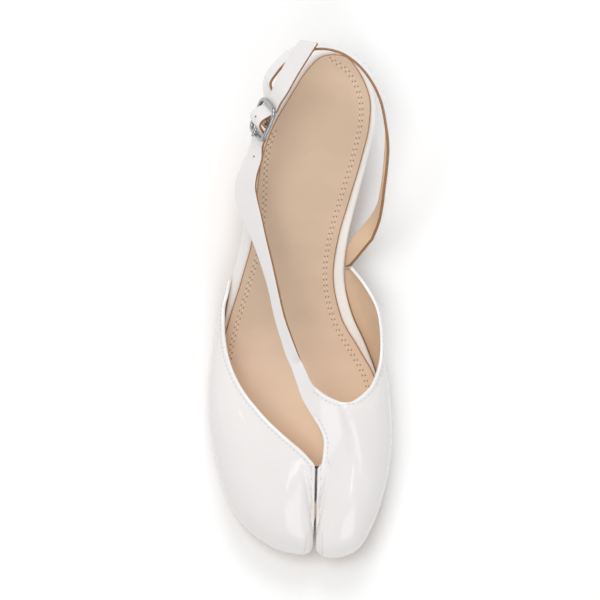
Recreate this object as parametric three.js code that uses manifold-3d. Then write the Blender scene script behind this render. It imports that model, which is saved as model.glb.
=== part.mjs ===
// Split-toe slingback heel, the wearer's right shoe, in millimetres.
// The toe points to -Y, the heel to +Y, the outer side of the foot to -X and up is +Z. The shoe stands on z = 0.
import * as THREE from "three";
import { mergeVertices } from "three/addons/utils/BufferGeometryUtils.js";
import Module from "manifold-3d";

const wasm = await Module();
wasm.setup();

// Leather and layers
const WALL = 1.6; // upper and straps: outer leather with its lining
const CLEARANCE = 0.3; // between pieces that meet
const BOARD_THICKNESS = 3.2;
const SOCK_THICKNESS = 1.5;
const SOLE_THICKNESS = 2.7;
const LIFT_THICKNESS = 6;

// Foot bed: height of the underside of the insole board along the shoe
const FOOT_BED = [
  { y: -124, z: 11.2 },
  { y: -108, z: 6.2 },
  { y: -94, z: 4.0 },
  { y: -80, z: SOLE_THICKNESS + CLEARANCE },
  { y: -30, z: SOLE_THICKNESS + CLEARANCE },
  { y: -15, z: 4.4 },
  { y: 0, z: 8.2 },
  { y: 15, z: 14.0 },
  { y: 30, z: 20.8 },
  { y: 45, z: 27.4 },
  { y: 60, z: 33.4 },
  { y: 75, z: 38.1 },
  { y: 90, z: 41.3 },
  { y: 105, z: 43.4 },
  { y: 124, z: 45.0 },
];

// Edge of the insole board from heel to toes, and the width of its bare rim round the sock
const BOARD_EDGE = [
  { y: 110, lateral: 0.8, medial: 29.4, lateralRim: 2.7, medialRim: 2.8 },
  { y: 96, lateral: -8.4, medial: 35.1, lateralRim: 2.9, medialRim: 2.5 },
  { y: 82, lateral: -17.0, medial: 35.3, lateralRim: 3.6, medialRim: 2.8 },
  { y: 66, lateral: -22.3, medial: 31.5, lateralRim: 3.7, medialRim: 2.7 },
  { y: 48, lateral: -25.3, medial: 26.7, lateralRim: 4.2, medialRim: 3.2 },
  { y: 28, lateral: -28.1, medial: 22.0, lateralRim: 4.9, medialRim: 4.2 },
  { y: 10, lateral: -32.5, medial: 20.5, lateralRim: 4.4, medialRim: 4.9 },
  { y: -6, lateral: -35.4, medial: 23.9, lateralRim: 2.4, medialRim: 5.0 },
  { y: -22, lateral: -37.9, medial: 30.9, lateralRim: 0.9, medialRim: 3.3 },
  { y: -38, lateral: -39.3, medial: 36.3, lateralRim: 0.6, medialRim: 0.8 },
  { y: -58, lateral: -38.7, medial: 38.5, lateralRim: 0.6, medialRim: 0.6 },
  { y: -76, lateral: -35.7, medial: 37.9, lateralRim: 0.6, medialRim: 0.6 },
  { y: -93, lateral: -31.2, medial: 34.8, lateralRim: 0.6, medialRim: 0.6 },
  { y: -106, lateral: -23.4, medial: 30.4, lateralRim: 0.6, medialRim: 0.6 },
];
const HEEL_BACK = { x: 15.6, y: 118.2, rim: 2.1, shoulderX: 8.1, shoulderY: 116.4 };
const LATERAL_TOE = [
  { x: 3.9, y: -115.6 },
  { x: 2.5, y: -118.0 },
  { x: -1.0, y: -118.1 },
  { x: -9.8, y: -115.8 },
];
const MEDIAL_TOE = [
  { x: 9.1, y: -115.6 },
  { x: 10.2, y: -118.4 },
  { x: 12.8, y: -119.4 },
  { x: 19.2, y: -119.0 },
  { x: 24.8, y: -115.8 },
];

// Cleft between the toes
const CLEFT = { rearX: 7.4, rearY: -79, frontX: 6.6, frontY: -112, gap: 1.2, floorLength: 19 };
const CLEFT_SLOT = CLEFT.gap / 2 + WALL + CLEARANCE; // half the slot of board and sock round the cleft

// Ribs of the upper, each from its foot on the board's edge, over a shoulder, to the topline.
// foot: length along the edge from the rear of the cleft; x, y, z: the topline; out, high: the shoulder;
// crown: how far the cover bulges upwards on its way to the topline;
// wallRound, topRound: how far the shoulder is rounded; split: columns up to the next rib.
const SMALL_TOE_RIBS = [
  { foot: 0.8, x: 6, y: -77.6, z: 34.3, crown: 0, out: 0, high: 33.9, wallRound: 2.2, topRound: 2.2, split: 4 },
  { foot: 19, x: 3.4, y: -74.6, z: 35.2, crown: 1.5, out: 0, high: 28.6, wallRound: 2.2, topRound: 2.6, split: 3 },
  { foot: 32, x: 0.6, y: -71.8, z: 36, crown: 4, out: 0, high: 20.8, wallRound: 2.4, topRound: 4, split: 3 },
  { foot: 39.5, x: -2.4, y: -69.2, z: 36.4, crown: 3.5, out: 0.6, high: 21.8, wallRound: 6, topRound: 12, split: 3 },
  { foot: 50, x: -6.2, y: -66, z: 36.7, crown: 2, out: 1.8, high: 25.5, wallRound: 13, topRound: 28, split: 2 },
  { foot: 60, x: -11, y: -61.8, z: 36.6, crown: 0.5, out: 3, high: 27.5, wallRound: 18, topRound: 40, split: 2 },
  { foot: 73, x: -16.2, y: -56.8, z: 36, crown: 0, out: 4, high: 29, wallRound: 24, topRound: 45, split: 2 },
  { foot: 87, x: -21.3, y: -51, z: 34.9, crown: 0, out: 5, high: 29.5, wallRound: 26, topRound: 40, split: 2 },
  { foot: 104, x: -26.2, y: -44.8, z: 33.3, crown: 0, out: 5.5, high: 29.5, wallRound: 27, topRound: 40, split: 2 },
  { foot: 121, x: -30.4, y: -37.8, z: 31.3, crown: 0, out: 5.5, high: 28, wallRound: 26, topRound: 30, split: 2 },
  { foot: 137, x: -33.6, y: -30.3, z: 29, crown: 0, out: 4.5, high: 25.5, wallRound: 24, topRound: 25, split: 2 },
  { foot: 153, x: -36, y: -21.5, z: 26.5, crown: 0, out: 3.2, high: 21, wallRound: 20, topRound: 20, split: 2 },
  { foot: 165, x: -37.2, y: -12.5, z: 24, crown: 0, out: 2.2, high: 17, wallRound: 20, topRound: 20, split: 2 },
  { foot: 175, x: -37, y: -3.5, z: 20.8, crown: 0, out: 1.4, high: 15.5, wallRound: 20, topRound: 20, split: 2 },
  { foot: 182.5, x: -35.3, y: 4.3, z: 17.6, crown: 0, out: 0.8, high: 14, wallRound: 20, topRound: 20, split: 2 },
  { foot: 187.5, x: -34.4, y: 9.8, z: 15.5, crown: 0, out: 0, high: 13.6, wallRound: 20, topRound: 20, split: 0 },
];
const BIG_TOE_RIBS = [
  { foot: 0.8, x: 10.3, y: -77.6, z: 33.9, crown: 0, out: 0, high: 33.4, wallRound: 2.2, topRound: 2.2, split: 2 },
  { foot: 9.5, x: 12, y: -76.6, z: 34, crown: 0.3, out: 0, high: 31.6, wallRound: 2.2, topRound: 2.6, split: 2 },
  { foot: 19, x: 13.9, y: -75, z: 34.2, crown: 0.9, out: 0, high: 28.4, wallRound: 2.2, topRound: 2.6, split: 3 },
  { foot: 31.5, x: 15.9, y: -72.5, z: 34.9, crown: 4.2, out: 0, high: 20.9, wallRound: 2.4, topRound: 4, split: 3 },
  { foot: 40, x: 17.4, y: -69.2, z: 35.7, crown: 1.2, out: 0.8, high: 22.5, wallRound: 6, topRound: 12, split: 2 },
  { foot: 50, x: 18.6, y: -64.6, z: 36.8, crown: 0.5, out: 2.4, high: 26.5, wallRound: 13, topRound: 28, split: 2 },
  { foot: 61, x: 19.2, y: -59.4, z: 38.3, crown: 0.5, out: 3.6, high: 28.7, wallRound: 18, topRound: 38, split: 2 },
  { foot: 71.5, x: 18.9, y: -53.8, z: 40.1, crown: 0.8, out: 4.5, high: 30, wallRound: 23, topRound: 42, split: 2 },
  { foot: 82, x: 17.6, y: -48.1, z: 42.4, crown: 1.2, out: 5, high: 31, wallRound: 25, topRound: 44, split: 2 },
  { foot: 92, x: 22.6, y: -48.2, z: 41.6, crown: 1.2, out: 5.3, high: 31.5, wallRound: 26, topRound: 42, split: 2 },
  { foot: 103, x: 27.8, y: -46.3, z: 40.7, crown: 0.8, out: 5.4, high: 31.6, wallRound: 27, topRound: 36, split: 2 },
  { foot: 116, x: 33.2, y: -41.3, z: 38.8, crown: 0.5, out: 5, high: 30, wallRound: 26, topRound: 30, split: 2 },
  { foot: 129, x: 36.6, y: -35, z: 37, crown: 0, out: 4.4, high: 27, wallRound: 24, topRound: 24, split: 2 },
  { foot: 142, x: 38.6, y: -28, z: 36, crown: 0, out: 4.5, high: 23, wallRound: 20, topRound: 20, split: 2 },
  { foot: 154, x: 39, y: -18.6, z: 35.6, crown: 0, out: 6.5, high: 21, wallRound: 20, topRound: 20, split: 2 },
  { foot: 166, x: 38, y: -8.6, z: 36, crown: 0, out: 8, high: 21.5, wallRound: 20, topRound: 20, split: 2 },
  { foot: 176, x: 35.5, y: -0.5, z: 35.6, crown: 0, out: 8.5, high: 23, wallRound: 20, topRound: 20, split: 2 },
  { foot: 185, x: 29.9, y: 8.8, z: 32, crown: 0, out: 6, high: 22, wallRound: 20, topRound: 20, split: 2 },
  { foot: 191.5, x: 24.4, y: 15.6, z: 25.5, crown: 0, out: 2.8, high: 20, wallRound: 20, topRound: 20, split: 0 },
];
const STRAP_ROOT = 8; // the front strap grows out of the big-toe ribs up to this one
const RIB_STEPS = { wall: 2, bend: 4, cover: 3 }; // facets up the wall, round the shoulder and over the cover
const ROUND_SHARE = 0.72; // most of a wall or cover that a shoulder may take
const CROWN_AT = 0.65; // share of the cover at which its crown lies

// Neck of the front strap: its outer edge and its throat edge, from the root to the strap's own width,
// and how far its sections bow towards the toes
const STRAP_NECK = [
  { x: 10.3, y: -77.6, z: 33.9, throatX: 17.6, throatY: -48.1, throatZ: 42.4, bow: 5 },
  { x: 11.1, y: -71.0, z: 36.0, throatX: 14.4, throatY: -46.9, throatZ: 43.3, bow: 3.6 },
  { x: 10.9, y: -65.4, z: 37.6, throatX: 11.3, throatY: -45.3, throatZ: 44.1, bow: 2.2 },
  { x: 8.6, y: -59.6, z: 39.2, throatX: 8.5, throatY: -43.4, throatZ: 44.8, bow: 1.2 },
  { x: 5.4, y: -54.4, z: 40.6, throatX: 5.6, throatY: -40.8, throatZ: 45.5, bow: 0.6 },
  { x: 0.8, y: -46.4, z: 42.6, throatX: 3.3, throatY: -37.1, throatZ: 46.6, bow: 0.2 },
  { x: -1.8, y: -39.0, z: 44.8, throatX: 1.7, throatY: -33.2, throatZ: 47.3, bow: 0 },
  { x: -3.9, y: -32.8, z: 47.0, throatX: 0.1, throatY: -29.6, throatZ: 48.5, bow: 0 },
];
const BOW_DROP = 0.3; // fall of the bowed middle of a section per millimetre of its bow

// Front strap: middle line, real width, and lean of its upper edge outwards (negative is inwards, over the foot)
const FRONT_STRAP = [
  { x: -4.1, y: -25.5, z: 49.9, width: 5.8, lean: -56 },
  { x: -6.2, y: -19.4, z: 51.9, width: 6.0, lean: -48 },
  { x: -10.0, y: -7.2, z: 55.2, width: 6.8, lean: -35 },
  { x: -12.7, y: 5.0, z: 58.0, width: 7.3, lean: -31 },
  { x: -15.9, y: 17.2, z: 60.3, width: 8.1, lean: -35 },
  { x: -19.6, y: 29.4, z: 62.4, width: 9.2, lean: -41 },
  { x: -23.2, y: 40.0, z: 64.1, width: 11.0, lean: -50 },
  { x: -25.4, y: 47.7, z: 65.4, width: 11.8, lean: -52 },
  { x: -25.7, y: 54.5, z: 66.9, width: 11.4, lean: -50 },
  { x: -23.7, y: 61.5, z: 69.0, width: 10.4, lean: -45 },
  { x: -21.0, y: 68.5, z: 71.3, width: 10.0, lean: -40 },
];
const STRAP_TAIL = [
  { x: -9.0, y: 99.4, z: 85.3, width: 10.0, lean: -42 },
  { x: -4.0, y: 108.7, z: 89.2, width: 10.0, lean: -46 },
  { x: 3.8, y: 120.9, z: 94.1, width: 10.0, lean: -46 },
];
const TAIL_SKEW = 0.55; // slant of the tail's cut end, along the strap for each millimetre across it
const ACROSS = { front: 6, heel: 4 }; // facets across a strap

// Heel strap: its base along the board's edge, then its upper edge round the heel
const HEEL_STRAP_BASE = [
  { x: 23.6, y: 16.3, z: 23.5, footY: 16.1 },
  { x: 27.0, y: 20.3, z: 30.2, footY: 20.3 },
  { x: 31.0, y: 25.3, z: 36.6, footY: 24.5 },
];
const HEEL_STRAP = [
  { x: 34.8, y: 31.0, z: 42.5, width: 13.5, lean: 16 },
  { x: 37.15, y: 37.4, z: 48.5, width: 12.0, lean: 11.5 },
  { x: 38.55, y: 44.7, z: 54.5, width: 11.4, lean: 7 },
  { x: 39.5, y: 52.6, z: 60.5, width: 11.0, lean: 5.5 },
  { x: 40.6, y: 61.8, z: 67.0, width: 11.0, lean: 6 },
  { x: 41.2, y: 72.1, z: 73.0, width: 11.0, lean: 3 },
  { x: 40.0, y: 83.1, z: 78.0, width: 11.0, lean: -2 },
  { x: 37.55, y: 94.1, z: 81.8, width: 11.0, lean: -6.5 },
  { x: 33.1, y: 103.2, z: 84.0, width: 11.0, lean: -8.5 },
  { x: 26.3, y: 111.3, z: 85.0, width: 11.0, lean: -9 },
  { x: 18.6, y: 116.3, z: 85.2, width: 11.0, lean: -8.5 },
  { x: 10.1, y: 118.1, z: 84.6, width: 11.0, lean: -10.5 },
  { x: 2.0, y: 116.8, z: 83.2, width: 10.8, lean: -15.5 },
  { x: -5.3, y: 112.9, z: 81.2, width: 10.5, lean: -18.5 },
  { x: -11.5, y: 106.4, z: 78.4, width: 10.4, lean: -18.5 },
  { x: -14.4, y: 101.5, z: 76.2, width: 10.6, lean: -20 },
];

// Buckle: place and pose, frame, bars and prong
const BUCKLE = { x: -17.8, y: 84.8, z: 78.4, heading: 23, climb: 22, lean: -36 };
const FRAME = { length: 18.8, width: 15.6, corner: 4.2, barWidth: 2.0, thickness: 1.9, bevel: 0.4 };
const BAR_REACH = (FRAME.length - FRAME.barWidth) / 2;
const BAR_RADIUS = 0.8;
const LOOP_THICKNESS = 1.0;
const LOOP_RADIUS = BAR_RADIUS + CLEARANCE + LOOP_THICKNESS / 2;
const STRAP_UNDER = -(FRAME.thickness / 2 + 2 * CLEARANCE + WALL / 2);
const PRONG = { radius: 0.65, play: 0.25, slot: 2.4, hole: 1.1, tip: 1.3 };
const PRONG_RING = BAR_RADIUS + PRONG.play + PRONG.radius;
const STRAP_OVER = PRONG_RING + PRONG.radius + 2 * CLEARANCE + WALL / 2;

// Front strap inside the buckle: half its length there, its width, half its crest, and its flat part by each bar
const THREADED = { reach: 10.4, width: 9.0, crest: 0.5, underBar: 0.6, steps: 18 };

// Heel strap's path from behind the buckle to its loop: along, out of and up across the buckle
const LOOP_LEAD = [
  { along: 10.4, out: -4.2, up: -10.2, width: 10.6 },
  { along: 6.4, out: -4.5, up: -6.8, width: 10.2 },
  { along: 3.4, out: -3.2, up: -2.8, width: 9.8 },
];
const LOOP_ARC = { from: -65, to: -325, steps: 9, width: 9.4 };

// Heel: seat, breast and lift
const BREAST = { y: 63, hollow: 2.5, gap: CLEARANCE };
const SEAT_INSET = 0.5;
const HEEL_FOOT = { x: 11.5, y: 93, widthScale: 0.8, lengthScale: 0.76, bow: 1.5, levels: 6 };

// Sole: how far it stands out past the board under the upper and under the bare rim
const WELT = { underUpper: 2.1, underRim: -0.7, inCleft: 1.7, fadeFrom: -14, fadeTo: 16 };

// Colours
const WHITE_LEATHER = { color: 0xebebe8, roughness: 0.32, metalness: 0 };
const BEIGE_LEATHER = { color: 0xd8bca0, roughness: 0.6, metalness: 0 };
const SOLE_LEATHER = { color: 0xcaa77f, roughness: 0.6, metalness: 0 };
const BLACK_RUBBER = { color: 0x3a3632, roughness: 0.8, metalness: 0 };
const NICKEL = { color: 0xc9cacb, roughness: 0.2, metalness: 1 };

const UP = new THREE.Vector3(0, 0, 1);
const degrees = THREE.MathUtils.degToRad;
const { clamp, lerp, smoothstep } = THREE.MathUtils;

// Value of a column of a table at y, through a curve that never overshoots its rows
function alongTable(table, column, y) {
  const rows = [...table].sort((a, b) => a.y - b.y);
  const last = rows.length - 1;
  const slopes = rows.map((row, i) => {
    if (i === 0 || i === last) {
      return 0;
    }
    const before = (row[column] - rows[i - 1][column]) / (row.y - rows[i - 1].y);
    const after = (rows[i + 1][column] - row[column]) / (rows[i + 1].y - row.y);
    return before * after <= 0 ? 0 : (2 * before * after) / (before + after);
  });
  slopes[0] = (rows[1][column] - rows[0][column]) / (rows[1].y - rows[0].y);
  slopes[last] = (rows[last][column] - rows[last - 1][column]) / (rows[last].y - rows[last - 1].y);
  const place = clamp(y, rows[0].y, rows[last].y);
  let i = 0;
  while (i < last - 1 && place > rows[i + 1].y) {
    i += 1;
  }
  const span = rows[i + 1].y - rows[i].y;
  const t = (place - rows[i].y) / span;
  const rest = 1 - t;
  return (
    rows[i][column] * (1 + 2 * t) * rest * rest +
    slopes[i] * span * t * rest * rest +
    rows[i + 1][column] * t * t * (3 - 2 * t) -
    slopes[i + 1] * span * t * t * rest
  );
}

// All columns of a table at a row number that may lie between two rows
function betweenRows(rows, place) {
  const last = rows.length - 1;
  const i = Math.min(Math.floor(place), last - 1);
  const t = place - i;
  const mixed = {};
  for (const column of Object.keys(rows[0])) {
    const b = rows[i][column];
    const c = rows[i + 1][column];
    const a = i > 0 ? rows[i - 1][column] : 2 * b - c;
    const d = i + 2 <= last ? rows[i + 2][column] : 2 * c - b;
    const curve = 2 * a - 5 * b + 4 * c - d + (3 * b - a - 3 * c + d) * t;
    mixed[column] = b + 0.5 * t * (c - a + t * curve);
  }
  return mixed;
}

const bedHeight = (y) => alongTable(FOOT_BED, "z", y);

// Edge of the board on one side, from the rear of the cleft round the toe and back to the heel
function boardEdge(side) {
  const out = side === "lateral" ? 1 : -1;
  const toe = side === "lateral" ? LATERAL_TOE : MEDIAL_TOE;
  const points = [
    { x: CLEFT.rearX - out * CLEFT_SLOT, y: CLEFT.rearY },
    { x: (CLEFT.rearX + CLEFT.frontX) / 2 - out * CLEFT_SLOT, y: (CLEFT.rearY + CLEFT.frontY) / 2 },
    { x: CLEFT.frontX - out * CLEFT_SLOT, y: CLEFT.frontY },
    ...toe,
    ...[...BOARD_EDGE].reverse().map((row) => ({ x: row[side], y: row.y })),
    { x: HEEL_BACK.x + out * (HEEL_BACK.shoulderX - HEEL_BACK.x), y: HEEL_BACK.shoulderY },
    { x: HEEL_BACK.x, y: HEEL_BACK.y },
  ];
  const curve = new THREE.CatmullRomCurve3(points.map((p) => new THREE.Vector3(p.x, p.y, 0)));
  curve.arcLengthDivisions = 800;
  const length = curve.getLength();
  return {
    length,
    at(run, offset) {
      const share = clamp(run / length, 0, 1);
      const point = curve.getPointAt(share);
      const along = curve.getTangentAt(share);
      return new THREE.Vector3(point.x - out * along.y * offset, point.y + out * along.x * offset, 0);
    },
    outward(run) {
      const along = curve.getTangentAt(clamp(run / length, 0, 1));
      return new THREE.Vector3(-out * along.y, out * along.x, 0);
    },
    runAtY(y) {
      let low = CLEFT.rearY - CLEFT.frontY + toe.length * 8;
      let high = length;
      for (let i = 0; i < 40; i += 1) {
        const middle = (low + high) / 2;
        if (curve.getPointAt(middle / length).y < y) {
          low = middle;
        } else {
          high = middle;
        }
      }
      return low;
    },
  };
}
const EDGES = { lateral: boardEdge("lateral"), medial: boardEdge("medial") };

// Outline of a layer: offset(side, run, y) tells how far it stands out past the board's edge
function layerOutline(offset, fromRun, step) {
  const walk = (side) => {
    const edge = EDGES[side];
    const count = Math.round((edge.length - fromRun) / step);
    return Array.from({ length: count + 1 }, (_, i) => {
      const run = lerp(fromRun, edge.length, i / count);
      return edge.at(run, offset(side, run, edge.at(run, 0).y));
    });
  };
  const medial = walk("medial").reverse();
  return [...walk("lateral"), ...medial.slice(1)];
}

function solidOf(geometry) {
  const bare = geometry.index ? geometry.toNonIndexed() : geometry.clone();
  bare.deleteAttribute("normal");
  bare.deleteAttribute("uv");
  const merged = mergeVertices(bare, 1e-4);
  return new wasm.Manifold(
    new wasm.Mesh({
      numProp: 3,
      vertProperties: new Float32Array(merged.attributes.position.array),
      triVerts: new Uint32Array(merged.index.array),
    }),
  );
}

function geometryOf(solid) {
  const mesh = solid.getMesh();
  const geometry = new THREE.BufferGeometry();
  geometry.setAttribute("position", new THREE.BufferAttribute(new Float32Array(mesh.vertProperties), 3));
  geometry.setIndex(new THREE.BufferAttribute(new Uint32Array(mesh.triVerts), 1));
  geometry.computeVertexNormals();
  return geometry;
}

// Upright prism over an outline
function prism(outline, low, high) {
  const shape = new THREE.Shape(outline.map((p) => new THREE.Vector2(p.x, p.y)));
  const geometry = new THREE.ExtrudeGeometry(shape, { depth: high - low, bevelEnabled: false });
  return solidOf(geometry.translate(0, 0, low));
}

// Slab across the whole width that follows the foot bed between two heights
function bedSlab(below, above) {
  const reach = 124;
  const step = 4;
  const count = Math.round((2 * reach) / step);
  const stations = Array.from({ length: count + 1 }, (_, i) => -reach + i * step);
  const top = stations.map((y) => new THREE.Vector2(y, bedHeight(y) + above));
  const bottom = stations.map((y) => new THREE.Vector2(y, bedHeight(y) + below)).reverse();
  const geometry = new THREE.ExtrudeGeometry(new THREE.Shape([...bottom.reverse(), ...top.reverse()]), {
    depth: 2 * reach,
    bevelEnabled: false,
  });
  const turn = new THREE.Matrix4().makeBasis(
    new THREE.Vector3(0, 1, 0),
    new THREE.Vector3(0, 0, 1),
    new THREE.Vector3(1, 0, 0),
  );
  return solidOf(geometry.applyMatrix4(turn).translate(-reach, 0, 0));
}

// Leather skin: patches of outer surface that share their borders, thickened inwards to one solid
class Skin {
  points = [];
  depths = [];
  faces = [];
  places = new Map();

  vertex(point, depth) {
    const key = [point.x, point.y, point.z].map((v) => Math.round(v * 500)).join(" ");
    if (!this.places.has(key)) {
      this.places.set(key, this.points.length);
      this.points.push(point.clone());
      this.depths.push(depth);
    }
    return this.places.get(key);
  }

  patch(grid, flip, depth = () => WALL) {
    const ids = grid.map((row, i) => row.map((point) => this.vertex(point, depth(i))));
    for (let i = 0; i + 1 < ids.length; i += 1) {
      for (let j = 0; j + 1 < ids[i].length; j += 1) {
        const a = ids[i][j];
        const b = ids[i + 1][j];
        const c = ids[i + 1][j + 1];
        const d = ids[i][j + 1];
        const corners = flip ? [a, d, c, b] : [a, b, c, d];
        this.triangle(corners[0], corners[1], corners[2]);
        this.triangle(corners[0], corners[2], corners[3]);
      }
    }
  }

  // Band between two lines with different numbers of points
  band(from, to) {
    const shares = [from, to].map((line) => {
      const runs = [0];
      line.slice(1).forEach((point, i) => runs.push(runs[i] + point.distanceTo(line[i])));
      return runs.map((run) => run / runs.at(-1));
    });
    const ids = [from, to].map((line) => line.map((point) => this.vertex(point, WALL)));
    let i = 0;
    let j = 0;
    while (i + 1 < from.length || j + 1 < to.length) {
      const onFrom = j + 1 === to.length || (i + 1 < from.length && shares[0][i + 1] <= shares[1][j + 1]);
      if (onFrom) {
        this.triangle(ids[0][i], ids[0][i + 1], ids[1][j]);
        i += 1;
      } else {
        this.triangle(ids[0][i], ids[1][j + 1], ids[1][j]);
        j += 1;
      }
    }
  }

  triangle(a, b, c) {
    if (a !== b && b !== c && c !== a) {
      this.faces.push([a, b, c]);
    }
  }

  geometry() {
    const normals = this.points.map(() => new THREE.Vector3());
    const faceNormals = this.faces.map(([a, b, c]) => {
      const ab = new THREE.Vector3().subVectors(this.points[b], this.points[a]);
      const ac = new THREE.Vector3().subVectors(this.points[c], this.points[a]);
      return ab.cross(ac).normalize();
    });
    this.faces.forEach((face, f) => {
      face.forEach((id, k) => {
        const to = new THREE.Vector3().subVectors(this.points[face[(k + 1) % 3]], this.points[id]);
        const from = new THREE.Vector3().subVectors(this.points[face[(k + 2) % 3]], this.points[id]);
        normals[id].addScaledVector(faceNormals[f], to.angleTo(from));
      });
    });
    normals.forEach((normal) => normal.normalize());
    const spread = this.points.map(() => 1);
    this.faces.forEach((face, f) => {
      face.forEach((id) => {
        spread[id] = Math.min(spread[id], normals[id].dot(faceNormals[f]));
      });
    });
    const inner = this.points.map((point, i) => {
      return point.clone().addScaledVector(normals[i], -this.depths[i] / clamp(spread[i], 0.7, 1));
    });
    const count = this.points.length;
    const edges = new Set(this.faces.flatMap(([a, b, c]) => [`${a} ${b}`, `${b} ${c}`, `${c} ${a}`]));
    const triangles = this.faces.flatMap(([a, b, c]) => [a, b, c, a + count, c + count, b + count]);
    for (const edge of edges) {
      const [a, b] = edge.split(" ").map(Number);
      if (!edges.has(`${b} ${a}`)) {
        triangles.push(b, a, a + count, b, a + count, b + count);
      }
    }
    const geometry = new THREE.BufferGeometry();
    const flat = [...this.points, ...inner].flatMap((p) => [p.x, p.y, p.z]);
    geometry.setAttribute("position", new THREE.Float32BufferAttribute(flat, 3));
    geometry.setIndex(triangles);
    geometry.computeVertexNormals();
    return geometry;
  }
}

// One rib of the upper, from the board's edge over the shoulder to the topline
function ribLine(edge, row) {
  const foot = edge.at(row.foot, CLEARANCE + WALL);
  const onFloor = 1 - smoothstep(row.foot, CLEFT.floorLength, CLEFT.floorLength + 8);
  foot.z = bedHeight(foot.y) + WALL * onFloor;
  const top = new THREE.Vector3(row.x, row.y, row.z);
  const shoulder = foot.clone().addScaledVector(edge.outward(row.foot), row.out);
  shoulder.z = Math.max(row.high, foot.z + 1);
  const crown = new THREE.Vector3().lerpVectors(shoulder, top, CROWN_AT);
  crown.z += row.crown;
  const cover = new THREE.QuadraticBezierCurve3(shoulder, crown, top);
  const wallEnd = clamp(row.wallRound / foot.distanceTo(shoulder), 0, ROUND_SHARE);
  const coverStart = clamp(row.topRound / cover.getLength(), 0, ROUND_SHARE);
  const start = new THREE.Vector3().lerpVectors(shoulder, foot, wallEnd);
  const rise = new THREE.LineCurve3(foot, start).getPoints(RIB_STEPS.wall);
  const turn = new THREE.QuadraticBezierCurve3(start, shoulder, cover.getPointAt(coverStart));
  const bend = turn.getPoints(RIB_STEPS.bend).slice(1);
  const run = Array.from({ length: RIB_STEPS.cover }, (_, i) => {
    return cover.getPointAt(lerp(coverStart, 1, (i + 1) / RIB_STEPS.cover));
  });
  return [...rise, ...bend, ...run];
}

// Columns of ribs of one lobe, and the column numbers at which the table's rows lie
function lobe(edge, rows) {
  const places = [];
  const columnOfRow = [];
  rows.forEach((row, i) => {
    columnOfRow.push(places.length);
    for (let k = 0; k < Math.max(row.split, 1); k += 1) {
      places.push(i + k / Math.max(row.split, 1));
    }
  });
  return { columns: places.map((place) => ribLine(edge, betweenRows(rows, place))), columnOfRow };
}

// Axes of a strap: along it, up across its width, and out of its outer face; hand is the outer side of its run
function strapAxes(along, lean, hand) {
  const side = new THREE.Vector3().crossVectors(along, UP).normalize().multiplyScalar(hand);
  const rise = UP.clone().addScaledVector(along, -along.dot(UP)).normalize();
  const up = rise.clone().multiplyScalar(Math.cos(degrees(lean))).addScaledVector(side, Math.sin(degrees(lean)));
  const out = side.clone().multiplyScalar(Math.cos(degrees(lean))).addScaledVector(rise, -Math.sin(degrees(lean)));
  return { along, up, out };
}

const HAND = { front: -1, heel: 1 };
const buckleAlong = new THREE.Vector3(
  Math.sin(degrees(BUCKLE.heading)) * Math.cos(degrees(BUCKLE.climb)),
  Math.cos(degrees(BUCKLE.heading)) * Math.cos(degrees(BUCKLE.climb)),
  Math.sin(degrees(BUCKLE.climb)),
);
const buckleAxes = strapAxes(buckleAlong, BUCKLE.lean, HAND.front);

// A place on the buckle: along the strap, out of its face, up across its width
function onBuckle(along, out, up) {
  return new THREE.Vector3(BUCKLE.x, BUCKLE.y, BUCKLE.z)
    .addScaledVector(buckleAxes.along, along)
    .addScaledVector(buckleAxes.out, out)
    .addScaledVector(buckleAxes.up, up);
}

// Middle sections of a strap from its table, each with its width and width direction
function strapSections(rows, hand, split, anchor) {
  const places = Array.from({ length: (rows.length - 1) * split + 1 }, (_, i) => i / split);
  return places.map((place) => {
    const row = betweenRows(rows, place);
    const ahead = betweenRows(rows, Math.min(place + 0.05, rows.length - 1));
    const behind = betweenRows(rows, Math.max(place - 0.05, 0));
    const along = new THREE.Vector3(ahead.x - behind.x, ahead.y - behind.y, ahead.z - behind.z).normalize();
    const { up } = strapAxes(along, row.lean, hand);
    const middle = new THREE.Vector3(row.x, row.y, row.z).addScaledVector(up, -anchor * row.width);
    return { middle, up, width: row.width };
  });
}

// The tail of the front strap, with its end cut at a slant
function tailSections() {
  const sections = strapSections(STRAP_TAIL, HAND.front, 2, 0);
  const end = sections.at(-1);
  const along = new THREE.Vector3().subVectors(end.middle, sections.at(-2).middle).normalize();
  end.up.addScaledVector(along, TAIL_SKEW).normalize();
  end.width *= Math.hypot(1, TAIL_SKEW);
  return sections;
}

// Outer surface of the front strap's neck, past its root
function neckGrid() {
  const split = 2;
  return Array.from({ length: (STRAP_NECK.length - 1) * split }, (_, i) => {
    const row = betweenRows(STRAP_NECK, (i + 1) / split);
    const edge = new THREE.Vector3(row.x, row.y, row.z);
    const throat = new THREE.Vector3(row.throatX, row.throatY, row.throatZ);
    const across = new THREE.Vector3(throat.x - edge.x, throat.y - edge.y, 0).normalize();
    const bow = new THREE.Vector3(across.y, -across.x, -BOW_DROP).multiplyScalar(row.bow);
    return Array.from({ length: ACROSS.front + 1 }, (_, k) => {
      const share = k / ACROSS.front;
      return edge.clone().lerp(throat, share).addScaledVector(bow, Math.sin(Math.PI * share));
    });
  });
}

// Outer surface of a strap, half its thickness out of its middle sections
function strapGrid(sections, sign, across, thickness = () => WALL) {
  return sections.map((section, i) => {
    const before = sections[Math.max(i - 1, 0)].middle;
    const after = sections[Math.min(i + 1, sections.length - 1)].middle;
    const along = new THREE.Vector3().subVectors(after, before).normalize();
    const out = new THREE.Vector3().crossVectors(along, section.up).normalize().multiplyScalar(sign);
    return Array.from({ length: across + 1 }, (_, k) => {
      return section.middle
        .clone()
        .addScaledVector(section.up, section.width * (k / across - 0.5))
        .addScaledVector(out, thickness(i) / 2);
    });
  });
}

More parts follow.
